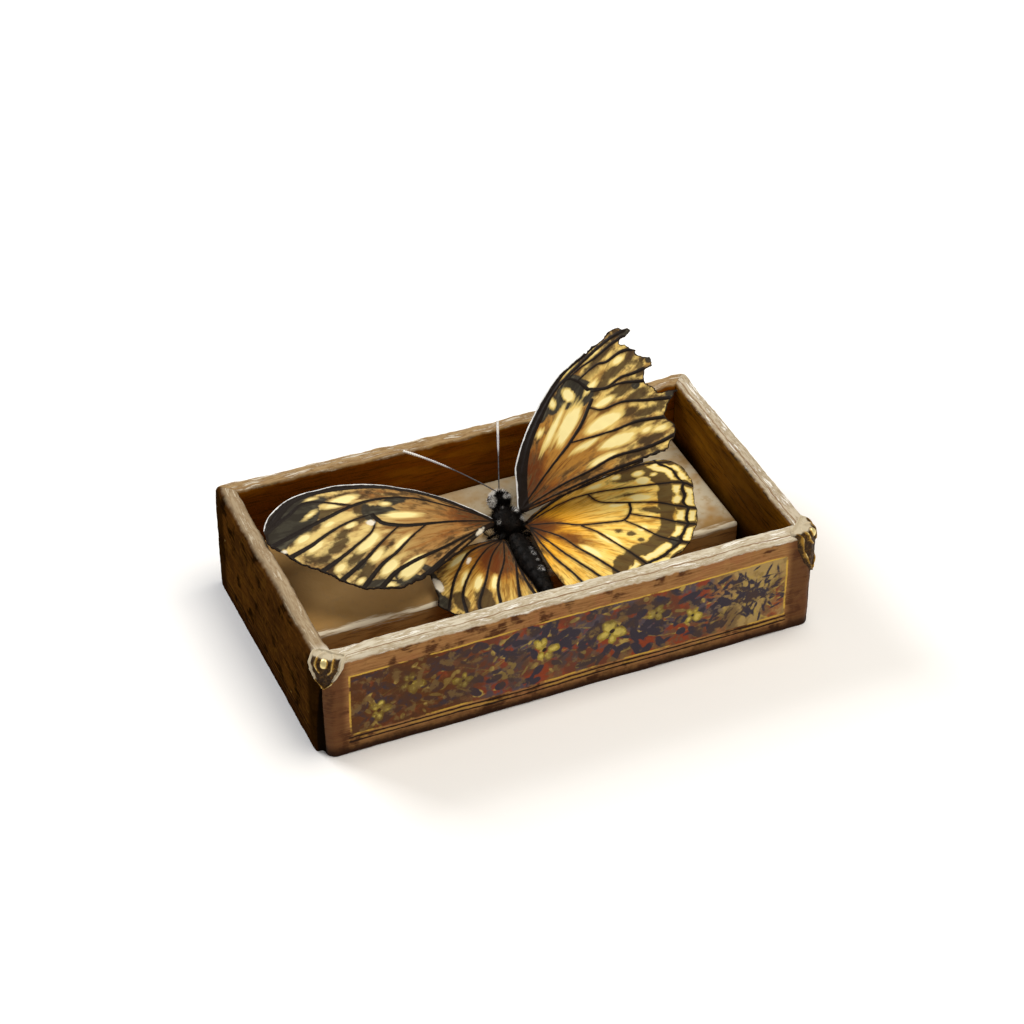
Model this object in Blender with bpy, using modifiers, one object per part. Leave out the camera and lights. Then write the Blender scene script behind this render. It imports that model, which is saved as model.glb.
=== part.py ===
"""An old open tray of mitred boards with a butterfly set on a pad inside it.

The right forewing stands up and its outer edge is torn. Lengths are in millimetres and angles
in degrees up to the helper functions, which turn them to metres. The origin lies under the
middle of the whole, on the surface that it rests on: +X runs along the tray, -Y is the
decorated front and +Z is up.
"""
import math

import bmesh
import bpy
from mathutils import Matrix, Vector

MM = 0.001
SHARP_EDGE = 30            # degrees

# Tray
TRAY_LENGTH = 112.0
TRAY_WIDTH = 64.0
TRAY_HEIGHT = 25.0
WALL = 4.4
# How much is cut off each corner, counter-clockwise from the front right one
CORNER_CUTS = (1.5, 1.0, 1.0, 3.0)
RIM_ROUND_OUTER = 1.5
RIM_ROUND_INNER = 0.8
BOARD_THICKNESS = 2.0
BOARD_ROUND = 0.25
CLEARANCE = 0.3
SPARE = 2.0                # how far a cutting shape reaches past what it cuts

# Corner caps: small shields of thin metal wrapped round the two front corners and over the rim
CAP_METAL = 0.5
CAP_PROUD = CAP_METAL + CLEARANCE
CAP_DEPTH = 5.2            # how far a cap reaches over the rim, from where the faces would meet
CAPS = {     # side, half width, height, and how far its middle lies towards the front
    "corner_cap_left": (-1, 4.6, 7.6, 0.7),
    "corner_cap_right": (1, 4.4, 11.5, 0.0),
}
# The shield's half outline, from its foot up: share of its half width and of its height
CAP_SHIELD = [(0.0, 1.0), (0.43, 0.72), (0.72, 0.35), (0.78, 0.0)]

# The tray is set back by half of what the caps stand proud, to centre the whole on the origin
SET_BACK = CAP_PROUD / 2

# Pad under the butterfly
PAD_TOP = 12.0
PAD_FRONT = -8.0
PAD_RIGHT_GAP = 1.3
PAD_ROUND = 0.7

# Butterfly body
HEAD_CENTRE = (2.9, 13.6, 16.9)
HEAD_RADII = (2.2, 1.9, 2.0)
EYE_RADIUS = 1.2
EYE_PLACE = (1.65, 0.5, 0.3)
THORAX_CENTRE = (1.9, 7.2, 16.0)
THORAX_RADII = (3.2, 4.0, 3.0)
ABDOMEN_FRONT = (1.75, 2.9, 15.3)
ABDOMEN_TIP = (1.2, -18.4, 14.2)
ABDOMEN_RINGS = 8
ABDOMEN_RADII = (1.3, 2.1, 2.4, 2.45, 2.35, 2.15, 1.85, 1.5, 0.9)
RING_GROOVE = 0.15
RING_EDGE = 0.1
LEG_RADIUS = 0.3
LEG_ROOTS_Y = (9.0, 7.0, 5.0)
LEG_FOOT_Z = PAD_TOP + CLEARANCE + LEG_RADIUS
LEG_REACH = (1.5, 3.3, 4.6, 3.9)       # how far out the hip, knee, ankle and foot lie
LEG_LEAN = (0.0, 0.8, 0.2, -1.2)       # how far the outer pairs' joints lie fore or aft
LEG_DROP = (1.9, 2.6, 2.9)             # how far the hip, knee and ankle lie under the middle

# Antennae, from the head to the club
ANTENNA_RADIUS = 0.22
CLUB_RADIUS = 0.5
ANTENNA_SAG = 0.8
ANTENNA_POINTS = 12
CLUB_START = 0.84          # the share of the antenna's length where its club starts
CLUB_ROUND = 0.8           # how much of a half wave the club swells and narrows over
ANTENNAE = {
    "antenna_left": ((2.2, 15.0, 19.0), (-14.0, 26.5, 26.4)),
    "antenna_right": ((3.5, 15.3, 19.1), (8.0, 26.6, 28.0)),
}

# Wings. Each is drawn flat, along its span and across its chord from the root, then bowed and
# turned about its root: swept to the head, lifted by its tip and pitched by its front edge.
WING_THICKNESS = 0.5
BEND_STEP = 4.5
CAMBER_START = 3.0
WINGS = {
    "forewing_left": {
        "side": -1, "root": (-0.5, 7.0, 16.8), "sweep": 3.0, "lift": 9.3, "pitch": 15.5,
        "length": 52.0, "arch": 3.5, "camber": 1.0, "mid_chord": 0.0, "half_chord": 14.0,
        "outline": [
            (1.1, 0.9), (8.9, 4.5), (17.7, 7.6), (25.5, 9.6), (32.8, 10.7), (38.8, 10.4),
            (44.3, 9.4), (47.8, 7.7), (50.6, 5.2), (52.2, 2.0), (52.2, -1.7), (49.3, -5.4),
            (46.1, -8.9), (43.2, -10.9), (40.9, -13.0), (36.3, -16.3), (32.9, -17.0),
            (28.0, -17.5), (24.0, -16.4), (20.5, -14.8), (12.1, -9.3), (5.0, -3.8), (1.1, -1.0)],
    },
    "forewing_right": {
        "side": 1, "root": (4.0, 7.0, 16.8), "sweep": 27.0, "lift": 39.0, "pitch": 8.0,
        "length": 48.0, "arch": 1.5, "camber": 1.0, "mid_chord": -8.0, "half_chord": 18.0,
        "outline": [
            (1.8, 0.6), (3.8, 1.9), (6.4, 3.6), (9.0, 5.4), (13.3, 6.6), (18.6, 7.5), (24.9, 7.9),
            (31.4, 7.4), (38.5, 4.9), (43.5, 3.3), (46.3, 1.8), (48.1, -1.5), (46.1, -2.2),
            (43.8, -1.3), (44.6, -3.4), (44.1, -5.1), (43.2, -6.6), (44.3, -9.1), (42.4, -10.6),
            (40.7, -9.8), (39.0, -11.6), (38.3, -14.8), (40.6, -18.7), (36.6, -18.3),
            (34.1, -19.3), (33.6, -21.5), (30.7, -23.8), (26.2, -22.9), (22.9, -19.9),
            (15.6, -13.2), (8.1, -7.0), (1.8, -1.4)],
    },
    "hindwing_left": {
        "side": -1, "root": (-0.2, 3.0, 15.2), "sweep": -29.0, "lift": -4.0, "pitch": 0.0,
        "length": 26.0, "arch": 0.6, "camber": 0.0, "mid_chord": -6.0, "half_chord": 12.0,
        "outline": [
            (1.0, 0.9), (8.0, 5.2), (14.0, 7.2), (18.4, 6.8), (20.3, 4.0), (23.5, 0.0),
            (25.2, -1.6), (25.6, -4.3), (25.2, -8.0), (23.4, -12.0), (20.2, -15.2),
            (16.0, -17.4), (11.5, -18.0), (8.6, -14.0), (5.8, -8.0), (1.2, -1.6)],
    },
    "hindwing_right": {
        "side": 1, "root": (4.0, 3.0, 15.6), "sweep": -1.5, "lift": 7.0, "pitch": 3.0,
        "length": 39.0, "arch": 1.0, "camber": 0.8, "mid_chord": -8.0, "half_chord": 16.0,
        "outline": [
            (1.3, 2.3), (9.0, 5.4), (21.0, 6.9), (31.5, 7.4), (36.0, 6.4), (38.3, 3.4),
            (38.6, -1.7), (37.8, -5.5), (36.4, -9.0), (34.9, -14.0), (32.6, -17.7),
            (29.4, -21.2), (24.6, -23.8), (18.6, -24.8), (12.2, -24.8), (5.5, -23.6),
            (1.6, -20.5), (0.9, -14.6), (0.9, -8.0), (1.2, -1.0)],
    },
}

BOX_NAME = "butterfly_display_box"


def srgb(hex_code):
    """Linear colour, with full opacity, of an sRGB hex code."""
    channels = [int(hex_code[i:i + 2], 16) / 255 for i in (0, 2, 4)]
    return [c / 12.92 if c <= 0.04045 else ((c + 0.055) / 1.055) ** 2.4 for c in channels] + [1.0]


def make_material(name, hex_code, roughness, metallic=0.0):
    material = bpy.data.materials.new(name)
    material.use_nodes = True
    shader = material.node_tree.nodes["Principled BSDF"]
    shader.inputs["Base Color"].default_value = srgb(hex_code)
    shader.inputs["Roughness"].default_value = roughness
    shader.inputs["Metallic"].default_value = metallic
    return material


def metres(point):
    return Vector(point) * MM


def add_object(name, mesh, material=None):
    """Put a mesh into the part, with its own material."""
    part = bpy.data.objects.new(name, mesh)
    PARTS.objects.link(part)
    part.location.y = SET_BACK * MM
    if material:
        mesh.materials.clear()
        mesh.materials.append(material)
    return part


def add_cutter(name, mesh):
    """Put a mesh that only cuts or joins into the cutters' collection, at the parts' place."""
    cutter = bpy.data.objects.new(name, mesh)
    CUTTERS.objects.link(cutter)
    cutter.location.y = SET_BACK * MM
    cutter.hide_render = True
    cutter.display_type = "WIRE"
    return cutter


def boolean(part, cutter, operation):
    modifier = part.modifiers.new(cutter.name, "BOOLEAN")
    modifier.operation = operation
    modifier.object = cutter


def bevel(part, width, segments, angle=35.0):
    modifier = part.modifiers.new("rounded edges", "BEVEL")
    modifier.width = width * MM
    modifier.segments = segments
    modifier.limit_method = "ANGLE"
    modifier.angle_limit = math.radians(angle)


def smooth(mesh, angle=35.0):
    mesh.shade_smooth()
    mesh.set_sharp_from_angle(angle=math.radians(angle))


def curve_to_mesh(curve):
    """Turn a curve into a closed mesh: its evaluated shape with the caps welded on."""
    holder = bpy.data.objects.new("curve", curve)
    CUTTERS.objects.link(holder)
    bpy.context.view_layer.update()
    evaluated = holder.evaluated_get(bpy.context.evaluated_depsgraph_get())
    mesh = bpy.data.meshes.new_from_object(evaluated)
    bpy.data.objects.remove(holder)
    shape = bmesh.new()
    shape.from_mesh(mesh)
    bmesh.ops.remove_doubles(shape, verts=shape.verts, dist=0.01 * MM)
    bmesh.ops.recalc_face_normals(shape, faces=shape.faces)
    shape.to_mesh(mesh)
    shape.free()
    return mesh


def plate(outlines, thickness, bottom=0.0):
    """A flat plate on one or more closed outlines, from bottom upwards. Inner ones are holes."""
    curve = bpy.data.curves.new("outline", "CURVE")
    curve.dimensions = "2D"
    curve.fill_mode = "BOTH"
    curve.extrude = thickness / 2 * MM
    for outline in outlines:
        spline = curve.splines.new("POLY")
        spline.points.add(len(outline) - 1)
        for point, (x, y) in zip(spline.points, outline):
            point.co = (x * MM, y * MM, 0, 1)
        spline.use_cyclic_u = True
    mesh = curve_to_mesh(curve)
    mesh.transform(Matrix.Translation((0, 0, (bottom + thickness / 2) * MM)))
    return mesh


def tube(points, radii, name="tube"):
    """A round rod along points, with a radius at each point and filled ends."""
    curve = bpy.data.curves.new(name, "CURVE")
    curve.dimensions = "3D"
    curve.bevel_depth = MM
    curve.bevel_resolution = 2
    curve.use_fill_caps = True
    spline = curve.splines.new("POLY")
    spline.points.add(len(points) - 1)
    for point, place, radius in zip(spline.points, points, radii):
        point.co = (*metres(place), 1)
        point.radius = radius
    return curve_to_mesh(curve)


def ball(centre, radii, segments=16, rings=10):
    """An egg: a sphere stretched to three radii."""
    shape = bmesh.new()
    place = Matrix.Translation(metres(centre)) @ Matrix.Diagonal((*metres(radii), 1))
    bmesh.ops.create_uvsphere(shape, u_segments=segments, v_segments=rings, radius=1, matrix=place)
    mesh = bpy.data.meshes.new("ball")
    shape.to_mesh(mesh)
    shape.free()
    return mesh


def block(low, high):
    """A box between two corners."""
    low, high = metres(low), metres(high)
    shape = bmesh.new()
    place = Matrix.Translation((low + high) / 2) @ Matrix.Diagonal((*(high - low), 1))
    bmesh.ops.create_cube(shape, size=1, matrix=place)
    mesh = bpy.data.meshes.new("block")
    shape.to_mesh(mesh)
    shape.free()
    return mesh


def cut_rectangle(half_length, half_width, cuts):
    """A rectangle with its corners cut off, counter-clockwise from the front right one."""
    x, y = half_length, half_width
    front_right, back_right, back_left, front_left = cuts
    return [(x - front_right, -y), (x, -y + front_right), (x, y - back_right), (x - back_right, y),
            (-x + back_left, y), (-x, y - back_left), (-x, -y + front_left), (-x + front_left, -y)]


def round_ring_edges(mesh, test, width, segments):
    """Bevel the sharp edges whose two ends pass a test on their places in millimetres.

    The flat top has edges between its triangles too, and those have to stay as they are.
    """
    shape = bmesh.new()
    shape.from_mesh(mesh)
    sharp = [e for e in shape.edges if e.calc_face_angle(0) > math.radians(SHARP_EDGE)]
    chosen = [e for e in sharp if all(test(v.co / MM) for v in e.verts)]
    bmesh.ops.bevel(shape, geom=chosen, offset=width * MM, segments=segments, profile=0.5,
                    affect="EDGES", clamp_overlap=True)
    shape.to_mesh(mesh)
    shape.free()


def tray_ring():
    """The four walls in one ring, with cut corners and a rounded rim."""
    half_length, half_width = TRAY_LENGTH / 2, TRAY_WIDTH / 2
    outer = cut_rectangle(half_length, half_width, CORNER_CUTS)
    x, y = half_length - WALL, half_width - WALL
    inner = [(-x, -y), (-x, y), (x, y), (x, -y)]
    ring = plate([outer, inner], TRAY_HEIGHT)
    tiny = 0.05

    def on_top(co):
        return co.z > TRAY_HEIGHT - tiny

    def on_inside(co):
        return abs(co.x) < x + tiny and abs(co.y) < y + tiny

    round_ring_edges(ring, lambda co: on_top(co) and not on_inside(co), RIM_ROUND_OUTER, 3)
    round_ring_edges(ring, lambda co: on_top(co) and on_inside(co), RIM_ROUND_INNER, 2)
    return ring


def mitre_outline(along, across, side):
    """The share of the tray that one wall takes, between two mitres, for a wall on side."""
    seam = CLEARANCE / math.sqrt(2)
    far, near = across + SPARE, across - WALL - SPARE
    wide, narrow = along + SPARE - seam, along - WALL - SPARE - seam
    return [(-wide, side * far), (wide, side * far), (narrow, side * near), (-narrow, side * near)]


def make_walls():
    half_length, half_width = TRAY_LENGTH / 2, TRAY_WIDTH / 2
    shares = {
        "front_wall": mitre_outline(half_length, half_width, -1),
        "back_wall": mitre_outline(half_length, half_width, 1),
        "left_wall": [(y, x) for x, y in mitre_outline(half_width, half_length, -1)],
        "right_wall": [(y, x) for x, y in mitre_outline(half_width, half_length, 1)],
    }
    for name, share in shares.items():
        material = make_material(name + "_leather", "5A3716", 0.6)
        wall = add_object(name, tray_ring(), material)
        cutter = add_cutter(name + "_share", plate([share], TRAY_HEIGHT + 2 * SPARE, -SPARE))
        boolean(wall, cutter, "INTERSECT")


def make_board():
    x, y = TRAY_LENGTH / 2 - WALL - CLEARANCE, TRAY_WIDTH / 2 - WALL - CLEARANCE
    mesh = block((-x, -y, 0), (x, y, BOARD_THICKNESS))
    board = add_object("bottom_board", mesh, make_material("board_card", "6B4A28", 0.8))
    bevel(board, BOARD_ROUND, 1)


def make_pad():
    x, y = TRAY_LENGTH / 2 - WALL, TRAY_WIDTH / 2 - WALL - CLEARANCE
    low = (-x + CLEARANCE, PAD_FRONT, BOARD_THICKNESS + CLEARANCE)
    mesh = block(low, (x - PAD_RIGHT_GAP, y, PAD_TOP))
    pad = add_object("mounting_pad", mesh, make_material("pad_paper", "B5A88F", 0.85))
    bevel(pad, PAD_ROUND, 2)


def corner_block(proud, rounding, below):
    """A solid as large as the tray and proud of it, with the tray's cut corners."""
    cuts = [cut + proud * (2 - math.sqrt(2)) for cut in CORNER_CUTS]
    outline = cut_rectangle(TRAY_LENGTH / 2 + proud, TRAY_WIDTH / 2 + proud, cuts)
    solid = plate([outline], TRAY_HEIGHT + proud + below, -below)
    round_ring_edges(solid, lambda co: co.z > TRAY_HEIGHT, rounding, 3)
    return solid


def make_corner_caps():
    """A thin shell round the cut corner and over the rim, trimmed by a shield-shaped prism."""
    for name, (side, reach, height, shift) in CAPS.items():
        half = [(reach * wide, TRAY_HEIGHT + SPARE - (height + SPARE - CAP_PROUD) * down)
                for wide, down in CAP_SHIELD]
        shield = half + [(-across, level) for across, level in reversed(half[1:])]
        shell = corner_block(CAP_PROUD, RIM_ROUND_OUTER, 0)
        cap = add_object(name, shell, make_material(name + "_gilt", "8A6A2C", 0.4, 0.9))
        inside = corner_block(CLEARANCE, RIM_ROUND_OUTER - CAP_METAL, SPARE)
        boolean(cap, add_cutter(name + "_inside", inside), "DIFFERENCE")
        prism = plate([[(across - side * shift, level) for across, level in shield]], 2 * CAP_DEPTH)
        stand = Matrix.Rotation(math.radians(90), 4, "X")
        turn = Matrix.Rotation(math.radians(45 * side), 4, "Z")
        place = Matrix.Translation(metres((side * TRAY_LENGTH / 2, -TRAY_WIDTH / 2, 0)))
        prism.transform(place @ turn @ stand @ Matrix.Translation((0, 0, -CAP_DEPTH * MM)))
        boolean(cap, add_cutter(name + "_shield", prism), "INTERSECT")


def make_head():
    black = make_material("head_black", "17120E", 0.6)
    head = add_object("head", ball(HEAD_CENTRE, HEAD_RADII), black)
    x, y, z = HEAD_CENTRE
    out, ahead, above = EYE_PLACE
    for side, name in ((-1, "left_eye"), (1, "right_eye")):
        centre = (x + side * out, y + ahead, z + above)
        eye = add_cutter(name, ball(centre, (EYE_RADIUS,) * 3, 12, 8))
        boolean(head, eye, "UNION")
    smooth(head.data)


def leg_route(side, root_y, index):
    """Hip, knee, ankle and foot of a leg folded under the thorax."""
    x, _, z = THORAX_CENTRE
    heights = [z - drop for drop in LEG_DROP] + [LEG_FOOT_Z]
    pair = 1 - index
    return [(x + side * reach, root_y + pair * lean, height)
            for reach, lean, height in zip(LEG_REACH, LEG_LEAN, heights)]


def make_thorax():
    black = make_material("thorax_black", "17120E", 0.7)
    thorax = add_object("thorax", ball(THORAX_CENTRE, THORAX_RADII), black)
    for side, word in ((-1, "left"), (1, "right")):
        for index, root_y in enumerate(LEG_ROOTS_Y):
            route = leg_route(side, root_y, index)
            leg = add_cutter(f"leg_{word}_{index}", tube(route, [LEG_RADIUS] * len(route)))
            boolean(thorax, leg, "UNION")
    smooth(thorax.data)


def make_abdomen():
    """A ringed spindle, turned about Z and laid from the thorax to its tip."""
    start, end = metres(ABDOMEN_FRONT), metres(ABDOMEN_TIP)
    length = (end - start).length / MM
    profile = [(0.0, 0.0)]
    for ring in range(ABDOMEN_RINGS):
        wide, next_wide = ABDOMEN_RADII[ring], ABDOMEN_RADII[ring + 1]
        top, bottom = -length * ring / ABDOMEN_RINGS, -length * (ring + 1) / ABDOMEN_RINGS
        profile.append((wide - RING_GROOVE, top - RING_EDGE))
        profile.append(((wide + next_wide + RING_EDGE) / 2, (top + bottom) / 2))
    profile.append((ABDOMEN_RADII[-1] - RING_GROOVE, -length + RING_EDGE))
    profile.append((0.0, -length))
    shape = bmesh.new()
    verts = [shape.verts.new((x * MM, 0, z * MM)) for x, z in profile]
    for a, b in zip(verts, verts[1:]):
        shape.edges.new((a, b))
    mesh = bpy.data.meshes.new("abdomen")
    shape.to_mesh(mesh)
    shape.free()
    abdomen = add_object("abdomen", mesh, make_material("abdomen_black", "17120E", 0.65))
    abdomen.location += start
    abdomen.rotation_mode = "QUATERNION"
    abdomen.rotation_quaternion = (start - end).to_track_quat("Z", "Y")
    screw = abdomen.modifiers.new("turned", "SCREW")
    screw.steps = 16
    screw.render_steps = 16
    screw.use_merge_vertices = True
    screw.merge_threshold = 0.01 * MM
    screw.use_smooth_shade = True


def make_antennae():
    for name, (base, tip) in ANTENNAE.items():
        base, tip = Vector(base), Vector(tip)
        points, radii = [], []
        for i in range(ANTENNA_POINTS):
            t = i / (ANTENNA_POINTS - 1)
            points.append(base.lerp(tip, t) + Vector((0, 0, ANTENNA_SAG * 4 * t * (1 - t))))
            club = max(0.0, (t - CLUB_START) / (1 - CLUB_START))
            swell = math.sin(club * CLUB_ROUND * math.pi)
            radii.append(ANTENNA_RADIUS + (CLUB_RADIUS - ANTENNA_RADIUS) * swell)
        mesh = tube(points, radii, name)
        smooth(mesh)
        add_object(name, mesh, make_material(name + "_brown", "3A2E22", 0.5))


def wing_bow(wing, u, w):
    """How far the wing lies above its own plane, from its arch and its camber."""
    t = min(max(u / wing["length"], 0.0), 1.1)
    across = (w - wing["mid_chord"]) / wing["half_chord"]
    fade_in = min(1.0, CAMBER_START * t)
    return wing["arch"] * 4 * t * (1 - t) + wing["camber"] * (1 - across * across) * fade_in


def wing_turn(wing):
    sweep = Matrix.Rotation(math.radians(wing["sweep"]), 3, "Z")
    lift = Matrix.Rotation(-math.radians(wing["lift"]), 3, "Y")
    pitch = Matrix.Rotation(math.radians(wing["pitch"]), 3, "X")
    mirror = Matrix.Diagonal((wing["side"], 1, 1))
    return mirror @ sweep @ lift @ pitch


def cut_steps(values, step):
    """Evenly spaced places between the least and the greatest value."""
    low, high = min(values), max(values)
    count = max(1, round((high - low) / step))
    return [low + (high - low) * i / count for i in range(1, count)]


def make_wing(name, wing):
    """Cut the flat plate into strips both ways, so that it can bend, then bow and turn it."""
    mesh = plate([wing["outline"]], WING_THICKNESS, -WING_THICKNESS / 2)
    shape = bmesh.new()
    shape.from_mesh(mesh)
    for axis in (0, 1):
        normal = (1, 0, 0) if axis == 0 else (0, 1, 0)
        for place in cut_steps([point[axis] for point in wing["outline"]], BEND_STEP):
            everything = shape.verts[:] + shape.edges[:] + shape.faces[:]
            bmesh.ops.bisect_plane(shape, geom=everything, dist=0.01 * MM,
                                   plane_co=Vector(normal) * place * MM, plane_no=normal)
    turn, root = wing_turn(wing), Vector(wing["root"])
    for vert in shape.verts:
        u, w, h = vert.co / MM
        vert.co = metres(root + turn @ Vector((u, w, h + wing_bow(wing, u, w))))
    bmesh.ops.triangulate(shape, faces=shape.faces)
    bmesh.ops.recalc_face_normals(shape, faces=shape.faces)
    shape.to_mesh(mesh)
    shape.free()
    smooth(mesh, 50)
    add_object(name, mesh, make_material(name + "_scales", "D9A441", 0.7))


def clear_scene():
    for old in list(bpy.data.objects):
        bpy.data.objects.remove(old)


def add_collection(name):
    collection = bpy.data.collections.new(name)
    bpy.context.scene.collection.children.link(collection)
    return collection


clear_scene()
PARTS = add_collection(BOX_NAME)
CUTTERS = add_collection("cutters")

make_board()
make_walls()
make_corner_caps()
make_pad()
make_head()
make_thorax()
make_abdomen()
make_antennae()
for wing_name, wing_values in WINGS.items():
    make_wing(wing_name, wing_values)
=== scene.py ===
# %% [markdown]
# # A butterfly in an old open box
# The real thing is a keepsake: a dried butterfly laid on a paper-covered pad in a small tray of
# card, which is covered with brown leather paper. The front has a printed floral band in a gilt
# frame. The tray is worn white along its rims, and the right forewing is torn and stands up.
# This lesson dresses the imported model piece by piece, in millimetres until a mesh is made.

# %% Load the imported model
import math
import random

import bpy
import numpy as np
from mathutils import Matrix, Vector
from mathutils.geometry import delaunay_2d_cdt


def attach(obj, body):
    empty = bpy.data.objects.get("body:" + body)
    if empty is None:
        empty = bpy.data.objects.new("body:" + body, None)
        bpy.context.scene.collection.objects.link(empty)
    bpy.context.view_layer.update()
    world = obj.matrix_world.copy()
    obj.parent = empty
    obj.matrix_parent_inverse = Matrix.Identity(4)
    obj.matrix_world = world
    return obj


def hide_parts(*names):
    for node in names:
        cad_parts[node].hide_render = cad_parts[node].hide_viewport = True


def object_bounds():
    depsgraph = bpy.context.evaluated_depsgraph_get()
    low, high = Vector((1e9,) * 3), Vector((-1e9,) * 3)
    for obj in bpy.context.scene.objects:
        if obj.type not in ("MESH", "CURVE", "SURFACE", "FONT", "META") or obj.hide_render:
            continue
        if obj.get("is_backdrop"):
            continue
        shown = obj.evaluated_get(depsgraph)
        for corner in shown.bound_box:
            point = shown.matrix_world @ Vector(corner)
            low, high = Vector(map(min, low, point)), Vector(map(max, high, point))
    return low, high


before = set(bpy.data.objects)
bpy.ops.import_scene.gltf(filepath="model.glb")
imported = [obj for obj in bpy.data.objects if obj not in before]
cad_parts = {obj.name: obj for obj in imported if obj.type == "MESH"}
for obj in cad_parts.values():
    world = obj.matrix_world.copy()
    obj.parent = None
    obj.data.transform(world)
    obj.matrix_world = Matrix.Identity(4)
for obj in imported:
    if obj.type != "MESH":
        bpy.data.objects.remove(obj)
MM = 0.001
SET_BACK = 0.4     # mm that all pieces sit back, because the corner caps stand proud at the front
cad_low, cad_high = (np.array(corner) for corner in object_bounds())
print("CAD box in mm:", (cad_high - cad_low) / MM)

# %% [markdown]
# ## Helpers
# Colours are written as sRGB hex codes, so one function turns them to the linear values that
# Blender mixes. Another adds a node with its settings and links. With these two, a finish is
# read like a recipe. A socket knows which tree it is in, so a helper that starts from a mask
# asks the mask for it.

# %% Colour, node and material helpers
def linear(hex_code):
    """The linear colour of an sRGB hex code."""
    channels = [int(hex_code[i:i + 2], 16) / 255 for i in (0, 2, 4)]
    return [c / 12.92 if c <= 0.04045 else ((c + 0.055) / 1.055) ** 2.4 for c in channels] + [1.0]


def node(tree, kind, inputs=None, **settings):
    """Add a node. Each input, by name or number, takes a value or another node's output."""
    new = tree.nodes.new(kind)
    for name, value in settings.items():
        setattr(new, name, value)
    for key, value in (inputs or {}).items():
        if isinstance(value, bpy.types.NodeSocket):
            tree.links.new(value, new.inputs[key])
        else:
            new.inputs[key].default_value = value
    return new


def new_finish(name, **sockets):
    """A material with plain numbers on its shader's sockets, its tree and its shader."""
    material = bpy.data.materials.new(name)
    material.use_nodes = True
    shader = material.node_tree.nodes["Principled BSDF"]
    for socket, value in sockets.items():
        shader.inputs[socket.replace("_", " ")].default_value = value
    return material, material.node_tree, shader


def connect(shader, **outputs):
    """Link outputs to the shader's sockets, such as Base_Color and Roughness."""
    for socket, output in outputs.items():
        shader.id_data.links.new(output, shader.inputs[socket.replace("_", " ")])


print("helpers ready")

# %% [markdown]
# ## Patterns in millimetres
# Wear, stains and scales are all noise, so every pattern says how large its lumps are on the
# real object. A worn mark is a field of millimetres, such as the distance from an edge, cut at a
# value that wanders with the noise.

# %% Pattern helpers
def from_mesh(tree, *names):
    """Numbers that the mesh carries at each point, mostly in millimetres."""
    return [node(tree, "ShaderNodeAttribute", attribute_name=name).outputs["Fac"]
            for name in names]


def grain(tree, size, place=None, stretch=(1, 1, 1), detail=3.0, shift=0.0):
    """Noise about 0.5 with lumps of a size in mm, on Object coordinates or a place in mm."""
    unit = 1.0 if place else MM
    place = place or node(tree, "ShaderNodeTexCoord").outputs["Object"]
    scale = [1 / (size * unit * along) for along in stretch]
    moved = node(tree, "ShaderNodeMapping", {"Vector": place, "Scale": scale,
                                             "Location": (shift, shift, shift)})
    noise = node(tree, "ShaderNodeTexNoise", {"Vector": moved.outputs[0], "Scale": 1.0,
                                              "Detail": detail, "Roughness": 0.6})
    return noise.outputs["Fac"]


def worn(field, edge, soft, wander=0.0, lumps=None, most=1.0, over=False):
    """Most where a field lies under an edge, or over it; noise makes the edge wander."""
    tree = field.id_data
    if wander:
        field = node(tree, "ShaderNodeMath", {0: lumps, 1: wander, 2: field},
                     operation="MULTIPLY_ADD").outputs[0]
        edge = edge + wander / 2
    return node(tree, "ShaderNodeMapRange",
                {"Value": field, "From Min": edge - soft, "From Max": edge + soft,
                 "To Min": 0.0 if over else most, "To Max": most if over else 0.0},
                interpolation_type="SMOOTHSTEP").outputs[0]


def less(field, amount):
    """A field with a number taken off."""
    return node(field.id_data, "ShaderNodeMath", {0: field, 1: amount},
                operation="SUBTRACT").outputs[0]


def away(field, middle):
    """How far a field lies from a value, to either side."""
    return node(field.id_data, "ShaderNodeMath", {0: less(field, middle)},
                operation="ABSOLUTE").outputs[0]


def both(*masks):
    """Where all of the masks are."""
    result = masks[0]
    for mask in masks[1:]:
        result = node(mask.id_data, "ShaderNodeMath", {0: result, 1: mask},
                      operation="MULTIPLY").outputs[0]
    return result


def paint(ground, coats):
    """Lay coats over a ground, each a mask and a hex code or colour, the last one on top."""
    colour, *layers = (linear(ink) if isinstance(ink, str) else ink
                       for ink in [ground] + [ink for _, ink in coats])
    for (mask, _), layer in zip(coats, layers):
        colour = node(mask.id_data, "ShaderNodeMix", {0: mask, 6: colour, 7: layer},
                      data_type="RGBA").outputs[2]
    return colour


def dull(value, coats):
    """Lay numbers over each other as paint lays colours: for roughness and metal."""
    for mask, number in coats:
        value = node(mask.id_data, "ShaderNodeMix", {0: mask, 2: value, 3: number}).outputs[0]
    return value


def emboss(heights):
    """The normal of a surface raised by height patterns, each with its height in mm."""
    inputs = {"Strength": 1.0}
    for height, depth in heights:
        inputs.update({"Height": height, "Distance": depth * MM})
        inputs["Normal"] = node(height.id_data, "ShaderNodeBump", inputs).outputs[0]
    return inputs["Normal"]


print("patterns ready")

# %% [markdown]
# ## Meshes from numbers
# Most pieces are grids of points worked out with numpy, because a warp or a fray is then one
# line of arithmetic for the whole piece. Each point can carry numbers, such as how far it lies
# from a vein, which the finish reads.

# %% Mesh helpers
def add_object(name, data):
    """A new object in the scene."""
    thing = bpy.data.objects.new(name, data)
    bpy.context.scene.collection.objects.link(thing)
    return thing


def carry(mesh, fields):
    """Give a mesh named numbers at each of its points."""
    for field, values in fields.items():
        attribute = mesh.attributes.new(field, "FLOAT", "POINT")
        attribute.data.foreach_set("value", np.asarray(values, dtype=np.float32))


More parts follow.
